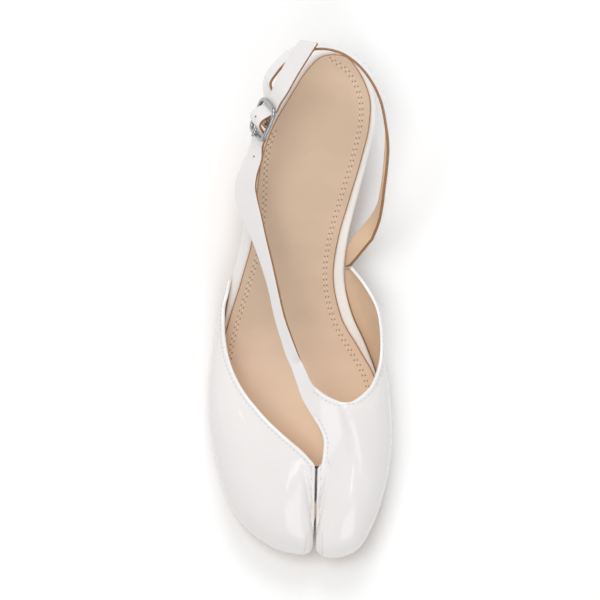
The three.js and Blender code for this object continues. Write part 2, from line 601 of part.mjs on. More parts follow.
// Front strap's path through the buckle: under the front bar, over the loop, under the rear bar
function threadedSections() {
  return Array.from({ length: THREADED.steps + 1 }, (_, i) => {
    const along = lerp(-THREADED.reach, THREADED.reach, i / THREADED.steps);
    const drop = smoothstep(Math.abs(along), THREADED.crest, BAR_REACH - THREADED.underBar);
    const out = lerp(STRAP_OVER, STRAP_UNDER, drop);
    return { middle: onBuckle(along, out, 0), up: buckleAxes.up, width: THREADED.width };
  });
}

function upper() {
  const skin = new Skin();
  const small = lobe(EDGES.lateral, SMALL_TOE_RIBS);
  const big = lobe(EDGES.medial, BIG_TOE_RIBS);
  skin.patch(small.columns, true);
  skin.patch(big.columns, false);
  const floorColumns = small.columnOfRow[1];
  const floor = Array.from({ length: floorColumns + 1 }, (_, i) => [small.columns[i][0], big.columns[i][0]]);
  skin.patch(floor, false);
  const root = big.columns.slice(0, big.columnOfRow[STRAP_ROOT] + 1).map((column) => column.at(-1));
  const neck = neckGrid();
  const sections = [
    ...strapSections(FRONT_STRAP, HAND.front, 2, 0),
    ...threadedSections(),
    ...tailSections(),
  ];
  skin.band(root, neck[0]);
  skin.patch([...neck, ...strapGrid(sections, -1, ACROSS.front)], true);
  return solidOf(skin.geometry()).subtract(prongHole());
}

function heelStrap() {
  const edge = EDGES.medial;
  const base = HEEL_STRAP_BASE.map((row) => {
    const foot = edge.at(edge.runAtY(row.footY), CLEARANCE + WALL / 2);
    foot.z = bedHeight(foot.y);
    const top = new THREE.Vector3(row.x, row.y, row.z);
    const up = new THREE.Vector3().subVectors(top, foot);
    const width = up.length();
    return { middle: foot.clone().addScaledVector(up, 0.5), up: up.normalize(), width };
  });
  const lead = LOOP_LEAD.map((row) => {
    return { middle: onBuckle(row.along, row.out, row.up), up: buckleAxes.up, width: row.width };
  });
  const arc = Array.from({ length: LOOP_ARC.steps + 1 }, (_, i) => {
    const angle = degrees(lerp(LOOP_ARC.from, LOOP_ARC.to, i / LOOP_ARC.steps));
    const middle = onBuckle(LOOP_RADIUS * Math.cos(angle), LOOP_RADIUS * Math.sin(angle), 0);
    return { middle, up: buckleAxes.up, width: LOOP_ARC.width };
  });
  const sections = [...base, ...strapSections(HEEL_STRAP, HAND.heel, 2, 0.5), ...lead, ...arc];
  const loopStart = sections.length - arc.length;
  const thickness = (i) => (i >= loopStart ? LOOP_THICKNESS : WALL);
  const skin = new Skin();
  skin.patch(strapGrid(sections, 1, ACROSS.heel, thickness), false, thickness);
  const slot = new THREE.BoxGeometry(PRONG.slot, 2.6 * LOOP_RADIUS + 4, 4 * LOOP_RADIUS);
  return solidOf(skin.geometry()).subtract(solidOf(slot.applyMatrix4(buckleMatrix())));
}

// Pose of a piece drawn with x up across the strap, y along it and z out of its face
function buckleMatrix() {
  const { along, up, out } = buckleAxes;
  return new THREE.Matrix4().makeBasis(up, along, out).setPosition(BUCKLE.x, BUCKLE.y, BUCKLE.z);
}

function roundedRectangle(width, length, corner) {
  const shape = new THREE.Shape();
  const x = width / 2;
  const y = length / 2;
  shape.moveTo(x, -y + corner);
  shape.lineTo(x, y - corner);
  shape.absarc(x - corner, y - corner, corner, 0, Math.PI / 2);
  shape.absarc(-x + corner, y - corner, corner, Math.PI / 2, Math.PI);
  shape.absarc(-x + corner, -y + corner, corner, Math.PI, 1.5 * Math.PI);
  shape.absarc(x - corner, -y + corner, corner, 1.5 * Math.PI, 2 * Math.PI);
  return shape;
}

function buckleFrame() {
  const { length, width, corner, barWidth, thickness, bevel } = FRAME;
  const shape = roundedRectangle(width - 2 * bevel, length - 2 * bevel, corner - bevel);
  const inner = barWidth - bevel;
  shape.holes.push(roundedRectangle(width - 2 * inner, length - 2 * inner, corner - inner));
  const ring = new THREE.ExtrudeGeometry(shape, {
    depth: thickness - 2 * bevel,
    bevelThickness: bevel,
    bevelSize: bevel,
    bevelSegments: 2,
    curveSegments: 5,
  });
  ring.translate(0, 0, bevel - thickness / 2);
  const bar = new THREE.CylinderGeometry(BAR_RADIUS, BAR_RADIUS, width - barWidth, 12).rotateZ(Math.PI / 2);
  const frame = solidOf(ring).add(solidOf(bar));
  return solidOf(geometryOf(frame).applyMatrix4(buckleMatrix()));
}

const PRONG_REST = FRAME.thickness / 2 + PRONG.play + PRONG.radius;

// Prong's path, from its ring over the front bar
function prongCurve() {
  return new THREE.LineCurve3(
    new THREE.Vector3(0, 0, PRONG_RING),
    new THREE.Vector3(0, -BAR_REACH - PRONG.tip, PRONG_REST),
  );
}

function buckleProng() {
  const ring = new THREE.TorusGeometry(PRONG_RING, PRONG.radius, 8, 18).rotateY(Math.PI / 2);
  const path = prongCurve();
  const length = path.getLength();
  const shank = new THREE.CapsuleGeometry(PRONG.radius, length, 3, 10);
  const pose = new THREE.Matrix4().lookAt(path.v2, path.v1, new THREE.Vector3(1, 0, 0));
  shank.rotateX(Math.PI / 2).applyMatrix4(pose);
  const middle = path.getPoint(0.5);
  shank.translate(middle.x, middle.y, middle.z);
  const prong = solidOf(ring).add(solidOf(shank));
  return solidOf(geometryOf(prong).applyMatrix4(buckleMatrix()));
}

// Punched hole of the front strap that the prong goes through
function prongHole() {
  const from = 0.5;
  const to = BAR_REACH - 1.5;
  const hole = new THREE.CylinderGeometry(PRONG.hole, PRONG.hole, to - from, 10);
  hole.translate(0, -(from + to) / 2, (PRONG_RING + PRONG_REST) / 2);
  return solidOf(hole.applyMatrix4(buckleMatrix()));
}

function rimWidth(side, y) {
  const column = `${side}Rim`;
  const rows = [...BOARD_EDGE.map((row) => ({ y: row.y, rim: row[column] })), { y: HEEL_BACK.y, rim: HEEL_BACK.rim }];
  return alongTable(rows, "rim", y);
}

function insoleBoard() {
  const cleftLength = CLEFT.rearY - CLEFT.frontY;
  const outline = layerOutline((side, run) => -CLEARANCE * (1 - smoothstep(run, cleftLength + 24, cleftLength + 34)), 0, 4);
  return prism(outline, -5, 70).intersect(bedSlab(0, BOARD_THICKNESS));
}

function sockLining() {
  const outline = layerOutline((side, run, y) => -rimWidth(side, y), 0, 4);
  const low = BOARD_THICKNESS + CLEARANCE;
  return prism(outline, -5, 70).intersect(bedSlab(low, low + SOCK_THICKNESS));
}

// Line of the heel breast, hollowed towards the heel
function breastOutline(front) {
  const half = 45;
  const arc = Array.from({ length: 13 }, (_, i) => {
    const x = lerp(-half, half, i / 12);
    const middle = (x - HEEL_FOOT.x + 8) / half;
    return { x, y: BREAST.y + BREAST.hollow * (1 - 4 * middle * middle) + (front ? -BREAST.gap : 0) };
  });
  const far = front ? -130 : 130;
  return front
    ? [{ x: -half, y: far }, { x: half, y: far }, ...arc.reverse()]
    : [...arc, { x: half, y: far }, { x: -half, y: far }];
}

function outsole() {
  const outline = layerOutline(
    (side, run, y) => {
      const past = run < CLEFT.rearY - CLEFT.frontY ? WELT.inCleft : WELT.underUpper;
      return lerp(past, WELT.underRim, smoothstep(y, WELT.fadeFrom, WELT.fadeTo));
    },
    CLEFT.floorLength,
    4,
  );
  const slab = bedSlab(-CLEARANCE - SOLE_THICKNESS, -CLEARANCE);
  return prism(outline, -5, 70).intersect(slab).intersect(prism(breastOutline(true), -5, 70));
}

// Seat outline of the heel, shrunk towards the lift by share 0 (seat) to 1 (lift)
function heelOutline(share) {
  const seat = [];
  for (const side of ["lateral", "medial"]) {
    const edge = EDGES[side];
    const from = edge.runAtY(BREAST.y - 4);
    const count = 14;
    const walk = Array.from({ length: count + 1 }, (_, i) => {
      return edge.at(lerp(from, edge.length, i / count), -SEAT_INSET);
    });
    seat.push(...(side === "lateral" ? walk : walk.reverse().slice(1)));
  }
  const wide = lerp(1, HEEL_FOOT.widthScale, share);
  const long = lerp(1, HEEL_FOOT.lengthScale, share);
  return seat.map((p) => ({
    x: HEEL_FOOT.x + (p.x - HEEL_FOOT.x) * wide,
    y: HEEL_FOOT.y + (p.y - HEEL_FOOT.y) * long,
  }));
}

function heelBlock() {
  const top = 50;
  const bottom = LIFT_THICKNESS + CLEARANCE;
  const rings = Array.from({ length: HEEL_FOOT.levels + 1 }, (_, k) => {
    const share = k / HEEL_FOOT.levels;
    const z = lerp(top, bottom, share);
    return heelOutline(Math.pow(share, 1 / HEEL_FOOT.bow)).map((p) => new THREE.Vector3(p.x, p.y, z));
  });
  const count = rings[0].length;
  const flat = rings.flat().flatMap((p) => [p.x, p.y, p.z]);
  const triangles = [];
  for (let k = 0; k + 1 < rings.length; k += 1) {
    for (let i = 0; i < count; i += 1) {
      const j = (i + 1) % count;
      const a = k * count + i;
      const b = k * count + j;
      triangles.push(a, b, b + count, a, b + count, a + count);
    }
  }
  const cap = THREE.ShapeUtils.triangulateShape(rings[0].map((p) => new THREE.Vector2(p.x, p.y)), []);
  const foot = (rings.length - 1) * count;
  for (const [a, b, c] of cap) {
    triangles.push(a, b, c, foot + a, foot + c, foot + b);
  }
  const geometry = new THREE.BufferGeometry();
  geometry.setAttribute("position", new THREE.Float32BufferAttribute(flat, 3));
  geometry.setIndex(triangles);
  let block = solidOf(geometry);
  if (block.volume() < 0) {
    throw new Error("the heel's outline runs the wrong way round");
  }
  block = block.intersect(bedSlab(-60, -CLEARANCE));
  return block.intersect(prism(breastOutline(false), -5, 70));
}

function heelLift() {
  const share = 1;
  return prism(heelOutline(share), 0, LIFT_THICKNESS).intersect(prism(breastOutline(false), -5, 70));
}

const shoe = new THREE.Group();
shoe.name = "tabi_heel";

function addNode(name, solid, finish) {
  const mesh = new THREE.Mesh(geometryOf(solid), new THREE.MeshStandardMaterial(finish));
  mesh.name = name;
  shoe.add(mesh);
}

addNode("upper", upper(), WHITE_LEATHER);
addNode("heel_strap", heelStrap(), WHITE_LEATHER);
addNode("insole_board", insoleBoard(), WHITE_LEATHER);
addNode("sock_lining", sockLining(), BEIGE_LEATHER);
addNode("outsole", outsole(), SOLE_LEATHER);
addNode("heel_block", heelBlock(), WHITE_LEATHER);
addNode("heel_lift", heelLift(), BLACK_RUBBER);
addNode("buckle_frame", buckleFrame(), NICKEL);
addNode("buckle_prong", buckleProng(), NICKEL);

// The origin lies under the middle of the shoe's box
const middle = new THREE.Box3().setFromObject(shoe).getCenter(new THREE.Vector3());
for (const mesh of shoe.children) {
  mesh.position.set(-middle.x, -middle.y, 0);
}

export default shoe;
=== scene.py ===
"""Looks of a split-toe slingback heel over the frame of its solids:
leather, lining, stitching, sole and buckle."""

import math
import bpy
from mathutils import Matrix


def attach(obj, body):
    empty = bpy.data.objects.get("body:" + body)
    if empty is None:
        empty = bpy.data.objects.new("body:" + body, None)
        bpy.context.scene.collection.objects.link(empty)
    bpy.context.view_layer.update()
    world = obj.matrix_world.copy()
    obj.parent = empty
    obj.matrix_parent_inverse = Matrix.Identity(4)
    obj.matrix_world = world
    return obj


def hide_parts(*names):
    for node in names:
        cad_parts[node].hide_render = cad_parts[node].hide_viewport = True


bl_info = {
    "name": "Split-toe slingback heel",
    "version": (1, 0, 0),
    "blender": (4, 5, 0),
    "location": "3D View > Sidebar > Shoe",
    "description": "Builds the leather, stitching, sole and buckle of a split-toe slingback heel",
    "category": "Object",
}

import bpy
import numpy as np
from mathutils import Vector
from mathutils.bvhtree import BVHTree
from mathutils.kdtree import KDTree

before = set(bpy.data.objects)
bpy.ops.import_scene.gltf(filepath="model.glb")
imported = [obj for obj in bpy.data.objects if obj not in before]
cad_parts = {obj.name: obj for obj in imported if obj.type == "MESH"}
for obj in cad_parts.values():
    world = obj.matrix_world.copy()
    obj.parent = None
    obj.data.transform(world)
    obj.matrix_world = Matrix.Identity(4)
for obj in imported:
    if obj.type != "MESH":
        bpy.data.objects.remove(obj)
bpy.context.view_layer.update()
BODY = "root"

# Lengths below are in millimetres, in the frame that the shoe is drawn in:
# the toe points to -Y, the heel to +Y, the outer side of the foot to -X and up is +Z.
MM = 0.001
MIDDLE = np.array([-0.31, -0.115, 0.0])  # the middle of the shoe's box in that frame


def metres(points):
    """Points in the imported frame, in metres."""
    return (np.asarray(points, float) - MIDDLE) * MM


# Curves and tables

SPAN_POINTS = 60  # points between two given ones on a dense curve


def unit(vectors):
    vectors = np.asarray(vectors, float)
    return vectors / np.maximum(np.linalg.norm(vectors, axis=-1, keepdims=True), 1e-12)


def smoothstep(value, low, high):
    t = np.clip((value - low) / (high - low), 0, 1)
    return t * t * (3 - 2 * t)


def lengths_along(points):
    return np.concatenate([[0], np.cumsum(np.linalg.norm(np.diff(points, axis=0), axis=1))])


def on_line(points, shares):
    """Points at shares of a line's length."""
    run = lengths_along(points)
    places = np.asarray(shares) * run[-1]
    return np.column_stack([np.interp(places, run, column) for column in points.T])


def resample(points, step):
    """Points at equal steps along a line."""
    count = max(int(round(lengths_along(points)[-1] / step)), 1)
    return on_line(points, np.linspace(0, 1, count + 1))


def smoothed(line, rounds):
    """A line with its small kinks ironed out."""
    for _ in range(rounds):
        line = np.vstack([line[:1], (line[:-2] + 2 * line[1:-1] + line[2:]) / 4, line[-1:]])
    return line


def bezier(a, b, c, count):
    t = np.linspace(0, 1, count)[:, None]
    return a * (1 - t) ** 2 + 2 * b * t * (1 - t) + c * t**2


def ruled(start, end, lanes):
    """Grid of straight lanes from one line to another."""
    shares = np.linspace(0, 1, lanes + 1)[None, :, None]
    return start[:, None] * (1 - shares) + end[:, None] * shares


def with_ends(rows):
    """Rows with one more at each end, so that a curve runs straight out of them."""
    return np.vstack([2 * rows[0] - rows[1], rows, 2 * rows[-1] - rows[-2]])


def catmull_rom(rows, places):
    """Rows of numbers at row numbers that may lie between two rows."""
    i = np.minimum(places.astype(int), len(rows) - 2)
    t = (places - i)[:, None]
    a, b, c, d = (with_ends(rows)[i + k] for k in range(4))
    return b + 0.5 * t * (c - a + t * (2 * a - 5 * b + 4 * c - d + t * (3 * b - a - 3 * c + d)))


def hermite(rows, slopes, knots, places):
    """Rows at places between knots, with a slope at each knot."""
    i = np.clip(np.searchsorted(knots, places, side="right") - 1, 0, len(knots) - 2)
    span = (knots[i + 1] - knots[i])[:, None]
    t = (np.clip(places, knots[0], knots[-1]) - knots[i])[:, None] / span
    rest = 1 - t
    return (
        rows[i] * (1 + 2 * t) * rest**2
        + slopes[i] * span * t * rest**2
        + rows[i + 1] * t**2 * (3 - 2 * t)
        - slopes[i + 1] * span * t**2 * rest
    )


def centripetal(points):
    """Dense points on a smooth curve through a few."""
    padded = with_ends(points)
    t = np.linspace(0, 1, SPAN_POINTS, endpoint=False)[:, None]
    dense = []
    for p0, p1, p2, p3 in zip(padded, padded[1:], padded[2:], padded[3:]):
        spans = ((p0, p1), (p1, p2), (p2, p3))
        d0, d1, d2 = (math.sqrt(np.linalg.norm(b - a)) for a, b in spans)
        leave = ((p1 - p0) / d0 - (p2 - p0) / (d0 + d1) + (p2 - p1) / d1) * d1
        arrive = ((p2 - p1) / d1 - (p3 - p1) / (d1 + d2) + (p3 - p2) / d2) * d1
        turn = 2 * p1 - 2 * p2 + leave + arrive
        dense.append(p1 + t * (leave + t * (3 * p2 - 3 * p1 - 2 * leave - arrive + t * turn)))
    return np.vstack([*dense, points[-1:]])


class Table:
    """Sizes in rows under named columns."""

    def __init__(self, columns, *rows):
        self.columns = columns.split()
        self.rows = np.array(rows, float)

    def __getitem__(self, column):
        return self.rows[:, self.columns.index(column)]

    def points(self, columns="x y z"):
        return np.column_stack([self[column] for column in columns.split()])

    def named_rows(self):
        return [dict(zip(self.columns, row)) for row in self.rows]

    def between(self, places, corner=0):
        """Rows at places between these, as one curve up to the corner row and another past it."""
        places = np.asarray(places, float)
        before = places < corner
        rows = np.empty((len(places), len(self.columns)))
        if corner:
            rows[before] = catmull_rom(self.rows[: corner + 1], places[before])
        rows[~before] = catmull_rom(self.rows[corner:], places[~before] - corner)
        return Table(" ".join(self.columns), *rows)

    def at_y(self, column, y):
        """A column's values at y, through a curve that never overshoots its rows."""
        order = np.argsort(self["y"])
        knots = self["y"][order]
        rows = self[column][order]
        steps = np.diff(rows) / np.diff(knots)
        before, after = steps[:-1], steps[1:]
        same_way = before * after > 0
        slopes = np.concatenate([steps[:1], np.zeros(len(before)), steps[-1:]])
        slopes[1:-1][same_way] = (2 * before * after)[same_way] / (before + after)[same_way]
        return hermite(rows[:, None], slopes[:, None], knots, np.atleast_1d(y).astype(float))[:, 0]


# Sizes of the board, the sock and what they lie on

WALL = 1.6  # leather of the upper and straps, with its lining
CLEARANCE = 0.3
BOARD_THICKNESS = 3.2
SOCK_THICKNESS = 1.5
SOLE_THICKNESS = 2.7
LIFT_THICKNESS = 6.0

FOOT_BED = Table(
    "y z",
    (-124, 11.2),
    (-108, 6.2),
    (-94, 4.0),
    (-80, SOLE_THICKNESS + CLEARANCE),
    (-30, SOLE_THICKNESS + CLEARANCE),
    (-15, 4.4),
    (0, 8.2),
    (15, 14.0),
    (30, 20.8),
    (45, 27.4),
    (60, 33.4),
    (75, 38.1),
    (90, 41.3),
    (105, 43.4),
    (124, 45.0),
)
BOARD_EDGE = Table(
    "y lateral medial lateral_rim medial_rim",
    (110, 0.8, 29.4, 2.7, 2.8),
    (96, -8.4, 35.1, 2.9, 2.5),
    (82, -17.0, 35.3, 3.6, 2.8),
    (66, -22.3, 31.5, 3.7, 2.7),
    (48, -25.3, 26.7, 4.2, 3.2),
    (28, -28.1, 22.0, 4.9, 4.2),
    (10, -32.5, 20.5, 4.4, 4.9),
    (-6, -35.4, 23.9, 2.4, 5.0),
    (-22, -37.9, 30.9, 0.9, 3.3),
    (-38, -39.3, 36.3, 0.6, 0.8),
    (-58, -38.7, 38.5, 0.6, 0.6),
    (-76, -35.7, 37.9, 0.6, 0.6),
    (-93, -31.2, 34.8, 0.6, 0.6),
    (-106, -23.4, 30.4, 0.6, 0.6),
)
HEEL_BACK = {"x": 15.6, "y": 118.2, "rim": 2.1, "shoulder_x": 8.1, "shoulder_y": 116.4}
TOES = {
    "lateral": Table("x y", (3.9, -115.6), (2.5, -118.0), (-1.0, -118.1), (-9.8, -115.8)),
    "medial": Table(
        "x y", (9.1, -115.6), (10.2, -118.4), (12.8, -119.4), (19.2, -119.0), (24.8, -115.8)
    ),
}
OUTWARD = {"lateral": 1, "medial": -1}
CLEFT = {"rear_x": 7.4, "rear_y": -79.0, "front_x": 6.6, "front_y": -112.0, "gap": 0.9}
CLEFT_SLOT = CLEFT["gap"] / 2 + WALL + CLEARANCE
CLEFT_LENGTH = CLEFT["rear_y"] - CLEFT["front_y"]
BOARD_FREE = {"from": 24.0, "to": 34.0}  # past the cleft, the board comes out to its full edge here
BOARD_ROUND = {"radius": 1.1, "rows": 7}

# Rows of the sock's edge: how far in and how far down they lie, and whether they are painted
SOCK_EDGE = ((0.75, 0, 0), (0.5, 0.03, 0), (0.3, 0.12, 1), (0.1, 0.3, 1), (0, 0.55, 1))
LAYER_STEPS = {"toe": 90, "lanes": 32, "side": 260, "edge": 1.2}

HOLE_ROW_START = -60.0  # the sock's rows of holes begin here, under the vamp
HOLE_ROW_STEP = 1.0
HOLE_ROW_ROUNDS = 30
HOLE_DRIFT = {"reach": 2.7, "from": 45.0, "to": 78.0}  # on the outer side, towards the sock's edge
HOLE_BREAK = {"x": 13.0, "y": 80.0}  # the rows are broken off behind y and outside x
DOT = {"sides": 10, "lift": 0.03, "dish": 0.015}

# Sizes of the upper

RIB_COLUMNS = "foot x y z crown out high wall_round top_round split"
SMALL_TOE_RIBS = Table(
    RIB_COLUMNS,
    (0.8, 6, -77.6, 34.3, 0, 0, 33.9, 2.2, 2.2, 4),
    (19, 3.4, -74.6, 35.2, 1.5, 0, 28.6, 2.2, 2.6, 3),
    (32, 0.6, -71.8, 36, 4, 0, 20.8, 2.4, 4, 3),
    (39.5, -2.4, -69.2, 36.4, 3.5, 0.6, 21.8, 6, 12, 3),
    (50, -6.2, -66, 36.7, 2, 1.8, 25.5, 13, 28, 2),
    (60, -11, -61.8, 36.6, 0.5, 3, 27.5, 18, 40, 2),
    (73, -16.2, -56.8, 36, 0, 4, 29, 24, 45, 2),
    (87, -21.3, -51, 34.9, 0, 5, 29.5, 26, 40, 2),
    (104, -26.2, -44.8, 33.3, 0, 5.5, 29.5, 27, 40, 2),
    (121, -30.4, -37.8, 31.3, 0, 5.5, 28, 26, 30, 2),
    (137, -33.6, -30.3, 29, 0, 4.5, 25.5, 24, 25, 2),
    (153, -36, -21.5, 26.5, 0, 3.2, 21, 20, 20, 2),
    (165, -37.2, -12.5, 24, 0, 2.2, 17, 20, 20, 2),
    (175, -37, -3.5, 20.8, 0, 1.4, 15.5, 20, 20, 2),
    (182.5, -35.3, 4.3, 17.6, 0, 0.8, 14, 20, 20, 2),
    (187.5, -34.4, 9.8, 15.5, 0, 0, 13.6, 20, 20, 0),
)
BIG_TOE_RIBS = Table(
    RIB_COLUMNS,
    (0.8, 10.3, -77.6, 33.9, 0, 0, 33.4, 2.2, 2.2, 2),
    (9.5, 12, -76.6, 34, 0.3, 0, 31.6, 2.2, 2.6, 2),
    (19, 13.9, -75, 34.2, 0.9, 0, 28.4, 2.2, 2.6, 3),
    (31.5, 15.9, -72.5, 34.9, 4.2, 0, 20.9, 2.4, 4, 3),
    (40, 17.4, -69.2, 35.7, 1.2, 0.8, 22.5, 6, 12, 2),
    (50, 18.6, -64.6, 36.8, 0.5, 2.4, 26.5, 13, 28, 2),
    (61, 19.2, -59.4, 38.3, 0.5, 3.6, 28.7, 18, 38, 2),
    (71.5, 18.9, -53.8, 40.1, 0.8, 4.5, 30, 23, 42, 2),
    (82, 17.6, -48.1, 42.4, 1.2, 5, 31, 25, 44, 2),
    (92, 22.6, -48.2, 41.6, 1.2, 5.3, 31.5, 26, 42, 2),
    (103, 27.8, -46.3, 40.7, 0.8, 5.4, 31.6, 27, 36, 2),
    (116, 33.2, -41.3, 38.8, 0.5, 5, 30, 26, 30, 2),
    (129, 36.6, -35, 37, 0, 4.4, 27, 24, 24, 2),
    (142, 38.6, -28, 36, 0, 4.5, 23, 20, 20, 2),
    (154, 39, -18.6, 35.6, 0, 6.5, 21, 20, 20, 2),
    (166, 38, -8.6, 36, 0, 8, 21.5, 20, 20, 2),
    (176, 35.5, -0.5, 35.6, 0, 8.5, 23, 20, 20, 2),
    (185, 29.9, 8.8, 32, 0, 6, 22, 20, 20, 2),
    (191.5, 24.4, 15.6, 25.5, 0, 2.8, 20, 20, 20, 0),
)
STRAP_ROOT = 8  # the big toe's rib at which the strap's root ends
ROUND_SHARE = 0.72
CROWN_AT = 0.65
COVER_POINTS = 64
LEAST_RISE = 1.0  # of a shoulder over the board
CLEFT_FLOOR = {"end": 19.0, "fade": 8.0}  # along the board's edge
FINE = 4  # columns of the leather's mesh for each column of the solid
RIB_STEPS = {"wall": 6, "bend": 16, "cover": 18}
COVER_FROM = RIB_STEPS["wall"] + RIB_STEPS["bend"]

# Smoothing of the upper: rounds of each pass, and where it works
FIRST_ROUNDS = 20
COVER_ROUNDS = 150
ROUND_ROUNDS = 350
ROUND_RIB = 5  # from this rib of the big toe on, its bend is smoothed with its cover
SWING = [0.5, -0.52]  # each round draws the points in, then lets them out again
ROOT_REACH = 15.0  # how far from the strap's root the leather is blended
ROOT_TAPER = 0.8
CORNER_REACH = 24.0  # how far from the cleft's corner the big toe's cover is blended
CORNER_RIBS = (2, 5)

# Edges of the leather
EDGE_STEPS = 7  # faces round an edge
TURNED_STEPS = 6  # how many of them are white where the leather is turned over
CUT_STEPS = 2  # and where it is cut
EDGE_BULGE = 0.55
FOLD_REACH = 9.0  # distance from an edge beyond which the leather is plain
FOLD_FADE = 0.4  # how fast the fold runs out along the front strap, from row to row
FOLD_PAST_CLEFT = {"front": 8.0, "rear": 1.0}
NECK_ROWS = 70
NECK_SEWN = 34  # rows of the neck that are sewn
CORNER_ROWS = 4  # rows at the cleft's corner that are not
CLEFT_PITCH = 2.0  # stitches beside the cleft lie this many times as far apart as the others
CLEFT_SEWN = {"rear": 1.0, "front": 6.0, "points": 80, "above": 90.0}
STITCH = {"points": 5, "sides": 6, "rise": 0.6, "dip": 0.9, "ends": 0.25}

# Sizes of the straps

STRAP_NECK = Table(
    "x y z throat_x throat_y throat_z bow",
    (10.3, -77.6, 33.9, 17.6, -48.1, 42.4, 5),
    (11.1, -71.0, 36.0, 14.4, -46.9, 43.3, 3.6),
    (10.9, -65.4, 37.6, 11.3, -45.3, 44.1, 2.2),
    (8.6, -59.6, 39.2, 8.5, -43.4, 44.8, 1.2),
    (5.4, -54.4, 40.6, 5.6, -40.8, 45.5, 0.6),
    (0.8, -46.4, 42.6, 3.3, -37.1, 46.6, 0.2),
    (-1.8, -39.0, 44.8, 1.7, -33.2, 47.3, 0),
    (-3.9, -32.8, 47.0, 0.1, -29.6, 48.5, 0),
)
THROAT = "throat_x throat_y throat_z"
BOW_DROP = 0.3
STRAP_COLUMNS = "x y z width lean"
FRONT_STRAP = Table(
    STRAP_COLUMNS,
    (-4.1, -25.5, 49.9, 5.8, -56),
    (-6.2, -19.4, 51.9, 6.0, -48),
    (-10.0, -7.2, 55.2, 6.8, -35),
    (-12.7, 5.0, 58.0, 7.3, -31),
    (-15.9, 17.2, 60.3, 8.1, -35),
    (-19.6, 29.4, 62.4, 9.2, -41),
    (-23.2, 40.0, 64.1, 11.0, -50),
    (-25.4, 47.7, 65.4, 11.8, -52),
    (-25.7, 54.5, 66.9, 11.4, -50),
    (-23.7, 61.5, 69.0, 10.4, -45),
    (-21.0, 68.5, 71.3, 10.0, -40),
)
STRAP_TAIL = Table(
    STRAP_COLUMNS,
    (-9.0, 99.4, 85.3, 10.0, -42),
    (-4.0, 108.7, 89.2, 10.0, -46),
    (3.8, 120.9, 94.1, 10.0, -46),
)
TAIL_SKEW = 0.55  # slant of the tail's cut end, along the strap for each millimetre across it
STRAP_HOLES = {"y": (91.7, 86.0, 67.6), "width": 1.1}
HEEL_STRAP_BASE = Table(
    "x y z foot_y",
    (23.6, 16.3, 23.5, 16.1),
    (27.0, 20.3, 30.2, 20.3),
    (31.0, 25.3, 36.6, 24.5),
)
HEEL_STRAP = Table(
    STRAP_COLUMNS,
    (34.8, 31.0, 42.5, 13.5, 16),
    (37.15, 37.4, 48.5, 12.0, 11.5),
    (38.55, 44.7, 54.5, 11.4, 7),
    (39.5, 52.6, 60.5, 11.0, 5.5),
    (40.6, 61.8, 67.0, 11.0, 6),
    (41.2, 72.1, 73.0, 11.0, 3),
    (40.0, 83.1, 78.0, 11.0, -2),
    (37.55, 94.1, 81.8, 11.0, -6.5),
    (33.1, 103.2, 84.0, 11.0, -8.5),
    (26.3, 111.3, 85.0, 11.0, -9),
    (18.6, 116.3, 85.2, 11.0, -8.5),
    (10.1, 118.1, 84.6, 11.0, -10.5),
    (2.0, 116.8, 83.2, 10.8, -15.5),
    (-5.3, 112.9, 81.2, 10.5, -18.5),
    (-11.5, 106.4, 78.4, 10.4, -18.5),
    (-14.4, 101.5, 76.2, 10.6, -20),
)
ANCHOR = {"middle": 0.0, "upper_edge": 0.5}  # what a strap's table gives the places of
HAND = {"front": -1, "heel": 1}
ACROSS = 24  # faces across a strap
STRAP_STEP = 0.9
UP = np.array([0.0, 0.0, 1.0])
PLAN = np.array([1.0, 1.0, 0.0])

# Sizes of the buckle, with the straps inside it

BUCKLE = {"place": (-17.8, 84.8, 78.4), "heading": 23, "climb": 22, "lean": -36}
RING = {"length": 18.8, "width": 15.6, "corner": 4.2, "bar": 2.0, "thickness": 1.9}
RING_SQUARED = 0.72  # below 1, the ring's section is fuller than round
RING_STEPS = {"corner": 13, "section": 20, "bar": 12, "bar_sides": 16}
BAR_REACH = (RING["length"] - RING["bar"]) / 2
BAR_RADIUS = 0.8
LOOP_THICKNESS = 1.0
LOOP_RADIUS = BAR_RADIUS + CLEARANCE + LOOP_THICKNESS / 2
LOOP_SKIVED = 4  # rows over which the heel strap is thinned for its loop
PRONG = {"radius": 0.65, "play": 0.25, "tip": 1.3}
PRONG_STEPS = {"ring": 48, "shank": 40, "sides": 14}
PRONG_RING = BAR_RADIUS + PRONG["play"] + PRONG["radius"]
PRONG_REST = RING["thickness"] / 2 + PRONG["play"] + PRONG["radius"]
STRAP_UNDER = -(RING["thickness"] / 2 + 2 * CLEARANCE + WALL / 2)
STRAP_OVER = PRONG_RING + PRONG["radius"] + 2 * CLEARANCE + WALL / 2
THREADED = {"reach": 10.4, "width": 9.0, "crest": 0.5, "under_bar": 0.6, "steps": 44}
LOOP_LEAD = Table(
    "along out up width",
    (10.4, -4.2, -10.2, 10.6),
    (6.4, -4.5, -6.8, 10.2),
    (3.4, -3.2, -2.8, 9.8),
)
LOOP_ARC = {"from": -65, "to": -325, "steps": 28, "width": 9.4}

# Sizes of the heel

BREAST = {"y": 63, "hollow": 2.5, "half": 45, "shift": 8, "overlap": 4}
SEAT_INSET = 0.5
HEEL_FOOT = {"x": 11.5, "y": 93, "width_scale": 0.8, "length_scale": 0.76, "bow": 1.5}
HEEL_MIDDLE = np.array([HEEL_FOOT["x"], HEEL_FOOT["y"]])
HEEL_TOP = 50.0  # above the foot bed, which cuts the heel off
HEEL_STEPS = {"levels": 26, "seat": 70, "back": 90, "front": 28, "step": 0.9, "finer": 0.2}
LIFT_EDGE = ((0.0, LIFT_THICKNESS), (0.0, 0.7), (0.25, 0.2), (0.7, 0.0))  # inset and height

# Stage, in metres and watts

